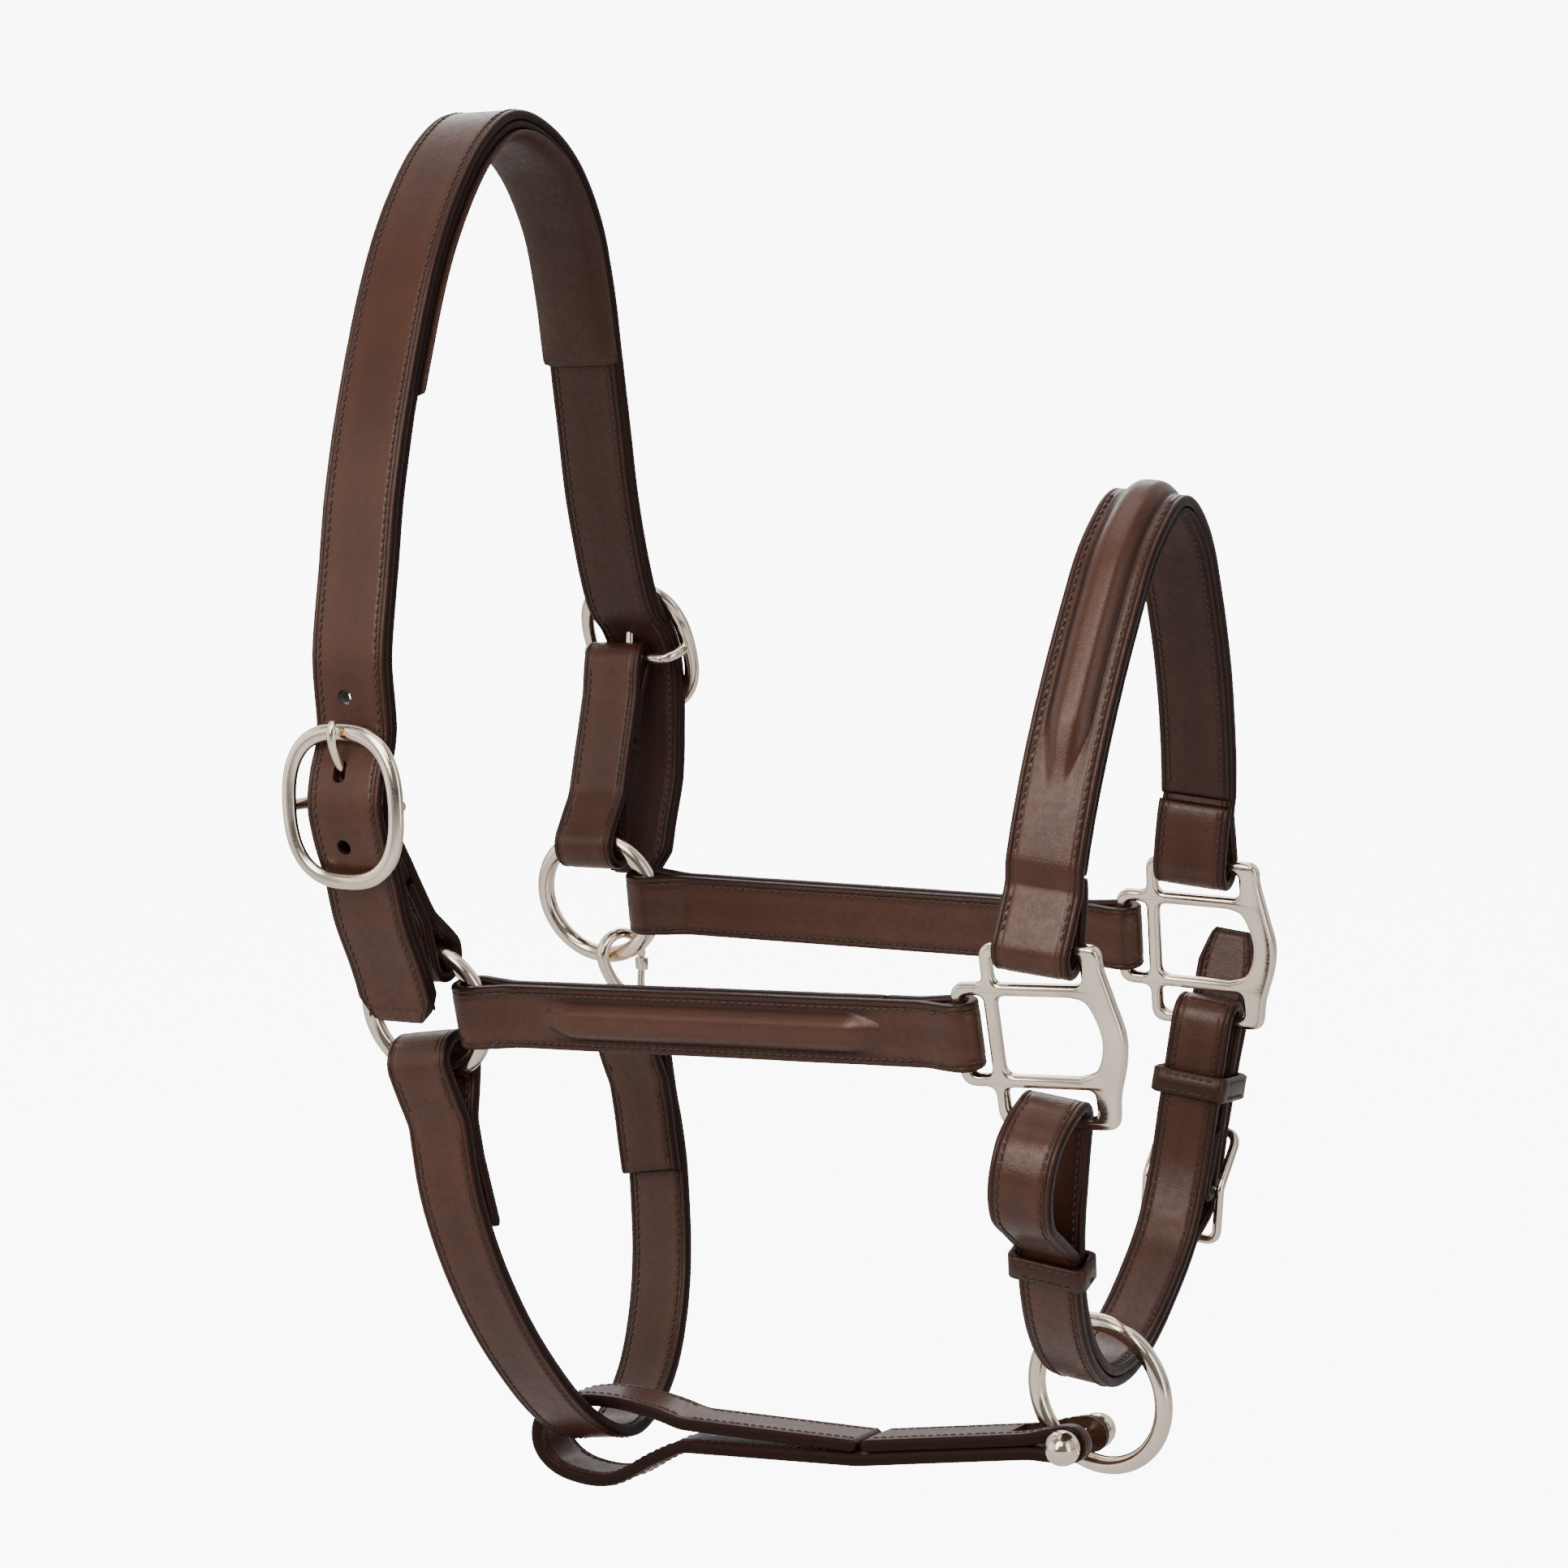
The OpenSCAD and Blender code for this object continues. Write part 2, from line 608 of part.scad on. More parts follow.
// Swivel eye that the throat strap is folded round
module snap_eye() {
    color(nickel) in_throat() translate([eye_x, throat_top_l.x, throat_top_l.y]) {
        for (z = [0, eye_h]) translate([0, 0, z]) rotate([0, 90, 0])
            cylinder(r = eye_r, h = 2 * eye_half, center = true);
        for (m = [-1, 1]) {
            translate([m * eye_half, 0, eye_h / 2]) cylinder(r = eye_r, h = eye_h, center = true);
            for (z = [0, eye_h]) translate([m * eye_half, 0, z]) sphere(eye_r);
        }
    }
}

crown_outer();
crown_lining();
poll_pad();
crown_buckle(-1);  // right_crown_buckle
crown_buckle(1);  // left_crown_buckle
crown_tongue(-1);  // right_crown_tongue
crown_tongue(1);  // left_crown_tongue
chape(-1);  // right_chape
chape(1);  // left_chape
cheek_ring(-1);  // right_cheek_ring
cheek_ring(1);  // left_cheek_ring
cheek_strap(-1);  // right_cheek_strap
cheek_strap(1);  // left_cheek_strap
cheek_ridge(-1);  // right_cheek_ridge
cheek_ridge(1);  // left_cheek_ridge
halter_square(-1);  // right_halter_square
halter_square(1);  // left_halter_square
noseband_outer();
noseband_lining();
noseband_ridge();
chin_strap();
right_chin_keeper();
left_chin_keeper();
chin_buckle();
chin_tongue();
chin_ring();
link_strap();
link_rod();
throat_strap();
snap_body();
snap_eye();
snap_gate();
snap_gate_pin();
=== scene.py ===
import math

import bmesh
import bpy
import numpy as np
from mathutils import Matrix, Vector, noise


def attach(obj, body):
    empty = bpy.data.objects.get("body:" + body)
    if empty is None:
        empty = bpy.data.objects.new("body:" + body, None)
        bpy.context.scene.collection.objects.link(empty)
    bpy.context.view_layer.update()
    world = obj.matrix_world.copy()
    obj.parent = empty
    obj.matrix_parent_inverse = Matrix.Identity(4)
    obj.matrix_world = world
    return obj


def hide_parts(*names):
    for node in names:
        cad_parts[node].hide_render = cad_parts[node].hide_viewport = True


# Lengths in the building code are millimetres in the headstall frame used by the CAD source;
# MM scales them to metres when a mesh is made.
MM = 0.001
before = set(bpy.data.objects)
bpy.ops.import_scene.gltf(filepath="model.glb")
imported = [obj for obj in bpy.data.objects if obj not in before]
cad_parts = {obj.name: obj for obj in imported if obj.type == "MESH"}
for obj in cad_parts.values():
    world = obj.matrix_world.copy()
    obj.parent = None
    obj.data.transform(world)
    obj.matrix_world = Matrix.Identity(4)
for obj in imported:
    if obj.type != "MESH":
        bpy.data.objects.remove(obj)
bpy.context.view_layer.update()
rng = np.random.default_rng(7)

# ---- Sizes shared with the CAD source ----
CROWN_W, CROWN_OUTER_T, CROWN_LINING_T, PAD_T, PAD_W = 28, 3.4, 3.1, 5.5, 31
LEATHER_T, CHAPE_W, CHEEK_W, NOSE_W, CHIN_W = 3.5, 23.5, 22, 25.4, 21
THROAT_W, THROAT_T, LINK_W, LINK_T, NOSE_LINING_T = 24.5, 4.3, 22, 4.4, 3.1
RING_WIRE, CHEEK_RING_R, CHIN_RING_R, BAR = 6, 22.5, 24.5, 4
POLL_X, POLL_Z, RING_X, RING_Y, RING_RISE = -4, 277.5, -10, 59, 8
RING_TILT = math.degrees(math.atan(RING_RISE / RING_Y))
NOSE_PITCH, SQUARE_X, SLOT_X, BAR_Z, REAR_BAR_X = 2.2, 230.5, -2.2, 28, -30
BUCKLE = {-1: (106, 70), 1: (91, 96)}
LEAN = {-1: 2, 1: 20}
BUCKLE_X, CENTRE_IN, BUCKLE_H, BUCKLE_HW = -6, 9.4, 24.3, 20.4
CHIN_LEAN, CHIN_X, CHIN_TILT = 7.5, 218.2, 10
CHIN_RING_AT, ROD_AT = (205, 0, -137), (197.6, 0, -153.8)
THROAT_PITCH, THROAT_YAW, THROAT_Z = -8.7, -2, -30
SLACK = 0.1
FINE = 4  # path steps for each step of the CAD source


# ---- Small matrices ----
def move(x, y, z):
    m = np.eye(4)
    m[:3, 3] = (x, y, z)
    return m


def turn(axis, degrees):
    return np.array(Matrix.Rotation(math.radians(degrees), 4, axis))


AT_POLL = move(-POLL_X, 0, -POLL_Z)
# Columns say where (along path x, along path y, across) go
ACROSS_X = np.array([[0, 0, 1, 0], [1, 0, 0, 0], [0, 1, 0, 0], [0, 0, 0, 1]], float)
ACROSS_Y = np.array([[1, 0, 0, 0], [0, 0, 1, 0], [0, 1, 0, 0], [0, 0, 0, 1]], float)


def at_ring(s):
    return move(RING_X, s * RING_Y, s * RING_RISE) @ turn("X", RING_TILT) @ turn("Y", s * NOSE_PITCH)


def side(s):
    return AT_POLL @ at_ring(s)


def in_side(s, p):
    return (at_ring(s) @ np.array([*p, 1.0]))[:3]


def square_y(s):
    return s * 8 + 3


def bar_point(s, z):
    return in_side(s, (SQUARE_X + SLOT_X, square_y(s), z))[1:]


def ring_point(s, up):
    return in_side(s, (0, 0, up * CHEEK_RING_R))[1:]


def in_buckle(s):
    return AT_POLL @ move(BUCKLE_X, s * BUCKLE[s][0], BUCKLE[s][1]) @ turn("X", s * LEAN[s])


def on_buckle(s, w, v):
    a = math.radians(LEAN[s])
    y, z = BUCKLE[s]
    return np.array([s * (y + w * math.cos(a) - v * math.sin(a)), z + w * math.sin(a) + v * math.cos(a)])


ct, st = math.cos(math.radians(CHIN_TILT)), math.sin(math.radians(CHIN_TILT))
CHIN_BAR = bar_point(1, -BAR_Z) - np.array([-2 * ct + 57 * st, 2 * st + 57 * ct])


def on_chin(w, v):
    return CHIN_BAR + np.array([w * ct + v * st, v * ct - w * st])


IN_CHIN = AT_POLL @ move(CHIN_X, 0, -BAR_Z) @ turn("Y", CHIN_LEAN) @ move(0, 0, BAR_Z)
ON_CHIN = IN_CHIN @ move(0, *CHIN_BAR) @ turn("X", -CHIN_TILT)
IN_NOSE = AT_POLL @ move(SQUARE_X + RING_X + SLOT_X, 0, BAR_Z) @ turn("Y", 6) @ move(0, 0, -BAR_Z)
IN_LINK = AT_POLL @ move(0, 0, ROD_AT[2]) @ turn("X", -8) @ move(0, 0, -ROD_AT[2])
IN_THROAT = (AT_POLL @ move(RING_X + 2.2, 0, THROAT_Z) @ turn("Z", THROAT_YAW) @ turn("Y", THROAT_PITCH)
             @ move(0, 0, -THROAT_Z))


# ---- Paths ----
def unit(v):
    return np.asarray(v, float) / np.linalg.norm(v)


def left_of(v):
    return np.array([-v[1], v[0]])


def smooth(points, n):
    """A rounded curve through the points, with n steps between each two."""
    p = np.array(points, float)
    out = []
    for i in range(len(p) - 1):
        a, b, c, d = p[max(i - 1, 0)], p[i], p[i + 1], p[min(i + 2, len(p) - 1)]
        for t in np.arange(n) / n:
            straight = 2 * b + (c - a) * t
            out.append(0.5 * (straight + (2 * a - 5 * b + 4 * c - d) * t * t + (3 * b - a - 3 * c + d) * t ** 3))
    return np.array(out + [p[-1]])


def headings(p):
    g = np.gradient(p, axis=0)
    return g / np.maximum(np.linalg.norm(g, axis=1), 1e-9)[:, None]


def shifted(p, d):
    h = headings(p)
    return p + d * np.stack([-h[:, 1], h[:, 0]], 1)


def fold(c, d, r, reach, gap):
    """A strap turned back round metal at c with radius r, both ends running the way d points, gap off the middle."""
    n = left_of(d)
    arc = [c - r * (math.cos(a) * n + math.sin(a) * d) for a in np.linspace(0, math.pi, 19)]
    return np.array([c + d * reach - n * gap, c + d * reach * 0.5 - n * (gap + r) * 0.52, *arc,
                     c + d * reach * 0.5 + n * (gap + r) * 0.52, c + d * reach + n * gap])


def join(*parts):
    return np.concatenate([np.atleast_2d(np.asarray(p, float)) for p in parts])


def length_along(p):
    return np.concatenate([[0], np.cumsum(np.linalg.norm(np.diff(p, axis=0), axis=1))])


def even(p, step=1.5, soften=1.6):
    """The path at even steps along its length, with its corners eased."""
    fine, taps = 0.5, 12
    at = length_along(p)
    t = np.arange(0, at[-1], fine)
    q = np.stack([np.interp(t, at, p[:, k]) for k in range(p.shape[1])], 1)
    k = np.exp(-0.5 * (np.arange(-taps, taps + 1) * fine / soften) ** 2)
    k /= k.sum()
    out = np.arange(1, taps + 1)[:, None]
    ends = np.concatenate([q[0] + (q[0] - q[1]) * out[::-1], q, q[-1] + (q[-1] - q[-2]) * out])
    q = np.stack([np.convolve(ends[:, c], k, "valid") for c in range(p.shape[1])], 1)
    return q[:: max(1, round(step / fine))]


def through_buckle(s):
    places = [(-4.1, -BUCKLE_H), (1, -11.5), (3.4, 0), (1, 11.5), (-4.1, BUCKLE_H)]
    return [on_buckle(s, w, v) for w, v in places]


CROWN_PATH = smooth([[-85, -6], [-91, 12], [-99, 30], *through_buckle(-1), [-101, 118], [-94, 146], [-87, 172],
                     [-76, 201], [-58, 238], [-41, 262], [-22, 280], [-1, 289.5], [20, 286], [40, 273], [54, 252],
                     [60, 230], [63, 208], [66, 182], [70, 150], *through_buckle(1)[::-1], [92, 48], [84, 30],
                     [77, 13]], 3 * FINE)
CROWN_T = CROWN_OUTER_T + CROWN_LINING_T
HALVES = (-LEATHER_T / 2, LEATHER_T / 2)
GAP = LEATHER_T / 2 + SLACK


def chape_path(s):
    top, low = on_buckle(s, -CENTRE_IN, 0), ring_point(s, 1 - 2.1 / CHEEK_RING_R)
    d = unit(top - low)
    a, b = fold(top, -d, 4.3, 14, GAP), fold(low, d, 7.5, 17, GAP)
    if s > 0:
        a, b = a[::-1], b[::-1]
    off = -s * left_of(d) * GAP
    return join(low + 0.55 * (top - low) + off, a, b, low + 0.52 * (top - low) + off)


def cheek_axis(s):
    return unit([SQUARE_X + REAR_BAR_X - 20, s * square_y(s)])


def cheek_path(s):
    d, end = cheek_axis(s), np.array([SQUARE_X + REAR_BAR_X, s * square_y(s)])
    butt = end - d * 26 - left_of(d) * GAP
    return join(butt, fold(np.array([20.0, 0]), d, 5.8, 16, GAP), fold(end, -d, 4.9, 12, GAP), butt + d * 0.4)


NOSE_ENDS = [bar_point(-1, BAR_Z), bar_point(1, BAR_Z)]
NOSE_MID = smooth([NOSE_ENDS[0] + [2.2, 22], [-61.5, 70], [-50.5, 98], [-36, 125], [-21, 146], [0, 157.5],
                   [21, 146], [36, 125], [50.5, 98], [61, 70], NOSE_ENDS[1] + [-1.8, 22]], 4 * FINE)
LINING_END = 3  # path steps from each end of NOSE_MID to the end of its lining


def nose_inside(i):
    return NOSE_MID[i] - left_of(headings(NOSE_MID)[i]) * (GAP + 0.3)


NOSE_PATH = join(nose_inside(LINING_END - 1), fold(NOSE_ENDS[0], headings(NOSE_MID)[FINE], 6.2, 19, GAP),
                 shifted(NOSE_MID[FINE:-FINE], GAP), fold(NOSE_ENDS[1], -headings(NOSE_MID)[-1 - FINE], 6.2, 19, GAP),
                 nose_inside(len(NOSE_MID) - LINING_END))

LOW_BAR_R = bar_point(-1, -BAR_Z)
CHIN_INNER = smooth([on_chin(-7.7, 24), on_chin(-7.5, 4), [53, -97], [38, -112], [21, -122.5], [3, -126.5],
                     [-15, -122.5], [-33, -108], [-46, -88], [-52.5, -66], [-54.6, -46]], 4 * FINE)
CHIN_WRAP = shifted(CHIN_INNER[8 * FINE:35 * FINE + 1], LEATHER_T + 2.5 * SLACK)[::-1]
CHIN_PATH = join(
    [on_chin(-1.9, 20), on_chin(-2.4, 10)],
    [on_chin(3.6 * math.cos(a), 3.6 * math.sin(a)) for a in np.linspace(math.pi, 2 * math.pi, 13)],
    smooth([on_chin(2.6, 10), on_chin(1.9, 26), on_chin(3.2, 46)], 8),
    [on_chin(-2 + 6.5 * math.cos(a), 57 + 6.5 * math.sin(a)) for a in np.radians(np.arange(20, 161, 10))],
    [on_chin(-8.3, 50), on_chin(-8.1, 38)],
    CHIN_INNER,
    [LOW_BAR_R + 6.5 * np.array([math.cos(a), math.sin(a)]) for a in np.radians(np.arange(20, 121, 10))],
    smooth([[-72, -24.5], [-80.5, -31], [-84, -43], [-80, -55], [-69, -63], CHIN_WRAP[0]], 10),
    CHIN_WRAP[1:],
    smooth([on_chin(-3, -14), on_chin(4.2, -9), on_chin(7.8, 0), on_chin(7.4, 10), on_chin(6.6, 20), on_chin(7.5, 40),
            on_chin(9.2, 57), on_chin(11, 88)], 10))

LINK_GAP = LINK_T / 2 + SLACK
LINK_LOOP = smooth([[52, -166.2 + LINK_GAP], [40, -161], [24, -159.3], [8, -160.8], [-3.8, -167.2], [-6, -175.5],
                    [-2, -182.5], [8, -187], [24, -187], [40, -178], [52, -169.5 - LINK_GAP]], 14)
LINK_PATH = join([120, -165.8 + LINK_GAP], LINK_LOOP, [120, -166 - LINK_GAP],
                 fold(np.array([ROD_AT[0], ROD_AT[2]]), unit([-60, -9.5]), 4.4, 15, LINK_GAP)[::-1],
                 [121.5, -165.6 + LINK_GAP])

THROAT_GAP = THROAT_T / 2 + SLACK
THROAT_TOP_R = ring_point(-1, -1 + 3.4 / CHEEK_RING_R)
SNAP_X, HOOK_BASE, SNAP_TURN = 7, 4, -33
HOOK_AT = in_side(1, (SNAP_X, 0, -math.sqrt(CHEEK_RING_R ** 2 - SNAP_X ** 2))) - [0, 0, 0.5]
THROAT_TOP_L = np.array([HOOK_AT[1] + HOOK_BASE * math.cos(math.radians(SNAP_TURN)), HOOK_AT[2] - 35.2])
THROAT_LINE = smooth([[-60, -50], [-61, -72], [-55.5, -100], [-43, -130], [-24, -158], [-4, -173.5], [14, -175],
                      [36, -162], [54, -136], [64.5, -104], [68, -80], THROAT_TOP_L + [THROAT_GAP, -16]], 4 * FINE)


def throat_inside(i):
    return THROAT_LINE[i] + left_of(headings(THROAT_LINE)[i]) * (2 * THROAT_GAP + 0.3)


LAST = len(THROAT_LINE) - 1
THROAT_PATH = join(
    [throat_inside(6 * FINE), throat_inside(2 * FINE)],
    fold(THROAT_TOP_R, unit(THROAT_LINE[FINE] + [THROAT_GAP, 0] - THROAT_TOP_R), 9.2, 20, THROAT_GAP)[::-1],
    THROAT_LINE[2 * FINE:LAST - 2 * FINE + 1],
    fold(THROAT_TOP_L, -headings(THROAT_LINE)[LAST - FINE], 2 + THROAT_T / 2 + 0.35, 13, THROAT_GAP)[::-1],
    [throat_inside(LAST - 3 * FINE), throat_inside(LAST - 7 * FINE)])


# ---- Materials ----
def shader(name):
    m = bpy.data.materials.new(name)
    m.use_nodes = True
    t = m.node_tree
    return m, t, t.nodes["Principled BSDF"]


def node(t, kind, inputs=None, **settings):
    n = t.nodes.new(kind)
    for k, v in settings.items():
        setattr(n, k, v)
    for k, v in (inputs or {}).items():
        if isinstance(v, bpy.types.NodeSocket):
            t.links.new(v, n.inputs[k])
        else:
            n.inputs[k].default_value = v
    return n


def ramp(t, fac, stops):
    n = node(t, "ShaderNodeValToRGB", {"Fac": fac})
    e = n.color_ramp.elements
    while len(e) < len(stops):
        e.new(0.5)
    for el, (pos, colour) in zip(e, stops):
        el.position = pos
        el.color = (*colour, 1) if isinstance(colour, tuple) else (colour, colour, colour, 1)
    return n.outputs["Color"]


def mix(t, fac, a, b, how="MIX"):
    n = node(t, "ShaderNodeMix", data_type="RGBA", blend_type=how)
    for i, v in ((0, fac), (6, a), (7, b)):
        if isinstance(v, bpy.types.NodeSocket):
            t.links.new(v, n.inputs[i])
        elif i == 0:
            n.inputs[0].default_value = v
        else:
            n.inputs[i].default_value = (*v, 1)
    return n.outputs[2]


def spots(t, where, scale, detail, roughness=0.5, distortion=0.0):
    inputs = {"Vector": where, "Scale": scale, "Detail": detail, "Roughness": roughness, "Distortion": distortion}
    return node(t, "ShaderNodeTexNoise", inputs).outputs["Fac"]


def spread(t, value, low, high, start=0.0, stop=1.0):
    """The value from start..stop brought to low..high."""
    inputs = {"Value": value, "From Min": start, "From Max": stop, "To Min": low, "To Max": high}
    return node(t, "ShaderNodeMapRange", inputs).outputs[0]


def leather(name, dark, light, edge, rough, grain=1.0, coat=0.2):
    """Waxed leather: the lightening mask, wear plus a painted sheen along ridge tops, lightens it; the darkening mask,
    the worn cut edge and a darker crease line plus painted shade in the grooves beside a ridge, darkens and dulls it.
    """
    m, t, p = shader(name)
    where = node(t, "ShaderNodeTexCoord").outputs["Object"]
    broad = spots(t, where, 34.0, 5.0, roughness=0.6)
    fine = spots(t, where, 420.0, 4.0, roughness=0.65)
    cell = node(t, "ShaderNodeTexVoronoi", {"Vector": where, "Scale": 1150.0}, feature="F1").outputs["Distance"]
    wrinkle = spots(t, where, 150.0, 2.0, distortion=1.2)
    worn_and_sheen = node(t, "ShaderNodeAttribute", attribute_name="wear_and_sheen").outputs["Fac"]
    edge_and_shade = node(t, "ShaderNodeAttribute", attribute_name="edge_and_shade").outputs["Fac"]
    base = mix(t, ramp(t, broad, [(0.22, 0.0), (0.80, 1.0)]), dark, light)
    base = mix(t, ramp(t, fine, [(0.35, 0.0), (0.75, 0.55)]), base, tuple(c * 0.55 for c in dark))
    # lightening mask: wear, plus a painted sheen along the top of a ridge
    base = mix(t, worn_and_sheen, base, tuple(min(1, c * 1.9) for c in light))
    # darkening mask: cut edge colour on the worn edges, plus painted shade in the grooves beside a ridge
    base = mix(t, edge_and_shade, base, edge)
    t.links.new(base, p.inputs["Base Color"])
    t.links.new(spread(t, fine, rough - 0.07, rough + 0.1, 0.3, 0.7), p.inputs["Roughness"])
    h = node(t, "ShaderNodeMath", {0: cell, 1: wrinkle}, operation="ADD").outputs[0]
    b = node(t, "ShaderNodeBump", {"Height": h, "Strength": 0.22 * grain, "Distance": 0.00026})
    t.links.new(b.outputs[0], p.inputs["Normal"])
    t.links.new(spread(t, edge_and_shade, coat, 0.0), p.inputs["Coat Weight"])
    t.links.new(spread(t, edge_and_shade, 0.36, 0.10), p.inputs["Specular IOR Level"])
    p.inputs["Coat Roughness"].default_value = 0.24
    p.inputs["Specular Tint"].default_value = (1.0, 0.80, 0.70, 1)
    return m


def metal(name, colour, rough):
    m, t, p = shader(name)
    where = node(t, "ShaderNodeTexCoord").outputs["Object"]
    cloud = spots(t, where, 60.0, 4.0)
    scratch = spots(t, where, 700.0, 2.0, distortion=2.5)
    tone = mix(t, ramp(t, cloud, [(0.35, 0.0), (0.75, 1.0)]), colour, tuple(c * 0.86 for c in colour))
    t.links.new(tone, p.inputs["Base Color"])
    t.links.new(spread(t, scratch, rough, rough + 0.1, 0.35, 0.7), p.inputs["Roughness"])
    b = node(t, "ShaderNodeBump", {"Height": cloud, "Strength": 0.12, "Distance": 0.0006})
    t.links.new(b.outputs[0], p.inputs["Normal"])
    p.inputs["Metallic"].default_value = 1
    return m


def thread(name, colour):
    m, t, p = shader(name)
    where = node(t, "ShaderNodeTexCoord").outputs["Object"]
    twist = node(t, "ShaderNodeTexWave", {"Vector": where, "Scale": 900.0, "Distortion": 2.0}).outputs["Fac"]
    t.links.new(mix(t, twist, colour, tuple(c * 2.1 for c in colour)), p.inputs["Base Color"])
    b = node(t, "ShaderNodeBump", {"Height": twist, "Strength": 0.4, "Distance": 0.0002})
    t.links.new(b.outputs[0], p.inputs["Normal"])
    p.inputs["Roughness"].default_value = 0.6
    return m


STRAP = leather("strap leather", (0.037, 0.0125, 0.0078), (0.074, 0.0250, 0.0140), (0.015, 0.0062, 0.0058), 0.36)
DARK = leather("lining leather", (0.027, 0.0110, 0.0085), (0.048, 0.0190, 0.0135), (0.014, 0.0062, 0.0060), 0.46,
               grain=1.2, coat=0.06)
PAD = leather("pad leather", (0.030, 0.0115, 0.0085), (0.056, 0.0215, 0.0145), (0.022, 0.0082, 0.0070), 0.46,
              grain=1.6, coat=0.08)
NICKEL = metal("polished nickel", (0.93, 0.79, 0.64), 0.10)
THREAD = thread("waxed thread", (0.026, 0.0115, 0.0085))


# ---- Mesh makers ----
def face_out(mesh, merge=False):
    bm = bmesh.new()
    bm.from_mesh(mesh)
    if merge:
        bmesh.ops.remove_doubles(bm, verts=bm.verts, dist=1e-6)
    bmesh.ops.recalc_face_normals(bm, faces=bm.faces)
    bm.to_mesh(mesh)
    bm.free()


def skin(rows, n, closed=False):
    """Faces over rows of n points each, each row a loop; the last row joins the first, or both ends get a cap."""
    faces = [[i * n + j, i * n + (j + 1) % n, (i + 1) % rows * n + (j + 1) % n, (i + 1) % rows * n + j]
             for i in range(rows if closed else rows - 1) for j in range(n)]
    if not closed:
        faces += [list(range(n))[::-1], list(range((rows - 1) * n, rows * n))]
    return faces


def build(name, verts, faces, material, body, nodes, attributes=None, smooth_angle=38):
    """A mesh piece on a body. verts are in metres in the row frame."""
    mesh = bpy.data.meshes.new(name)
    mesh.from_pydata([tuple(v) for v in verts], [], faces)
    for key, values in (attributes or {}).items():
        mesh.attributes.new(key, "FLOAT", "POINT").data.foreach_set("value", np.asarray(values, np.float32))
    face_out(mesh)
    mesh.shade_smooth()
    mesh.set_sharp_from_angle(angle=math.radians(smooth_angle))
    ob = bpy.data.objects.new(name, mesh)
    bpy.context.scene.collection.objects.link(ob)
    ob.data.materials.append(material)
    return dress(ob, body, nodes)


def dress(ob, body, nodes):
    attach(ob, body)
    if nodes:
        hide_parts(*nodes)
    return ob


def to_row(matrix, points):
    p = np.asarray(points, float)
    return (p @ matrix[:3, :3].T + matrix[:3, 3]) * MM


def step(x, a, b):
    t = np.clip((x - a) / (b - a), 0, 1)
    return t * t * (3 - 2 * t)


def section(w, low, high):
    """Points (across, height, face) round a strap's cross section; face is 1 on top, -1 below, 0 on the low edge."""
    r = min(1.2, (high - low) * 0.36)
    h = w / 2
    lines = {h - 1.75, h - 2.0, h - 2.25, h - 3.0, h - 3.4, h - 3.8}
    grid = sorted({round(v, 3) for v in [*lines, *np.arange(0, h - 4.2, 0.6), h - r] if 0 <= v <= h - r})
    across = [-v for v in grid[::-1] if v > 0] + grid
    out = [(a, high, 1) for a in across]
    out += [(h - r + r * math.sin(q), high - r + r * math.cos(q), 1) for q in np.radians([25, 50, 75])]
    out += [(h, (high + low) / 2, 0)]
    out += [(h - r + r * math.sin(q), low + r - r * math.cos(q), 0) for q in np.radians([75, 50, 25])]
    out += [(a, low, -1) for a in across[::-1]]
    out += [(-h + r - r * math.sin(q), low + r - r * math.cos(q), 0) for q in np.radians([25, 50, 75])]
    out += [(-h, (high + low) / 2, 0)]
    out += [(-h + r - r * math.sin(q), high - r + r * math.cos(q), 1) for q in np.radians([75, 50, 25])]
    return np.array(out)


EDGE, SEAM = 2.0, 3.4  # how far from a strap's edge its crease and its stitches run
WAVE = 0.12  # how far a strap wanders from straight


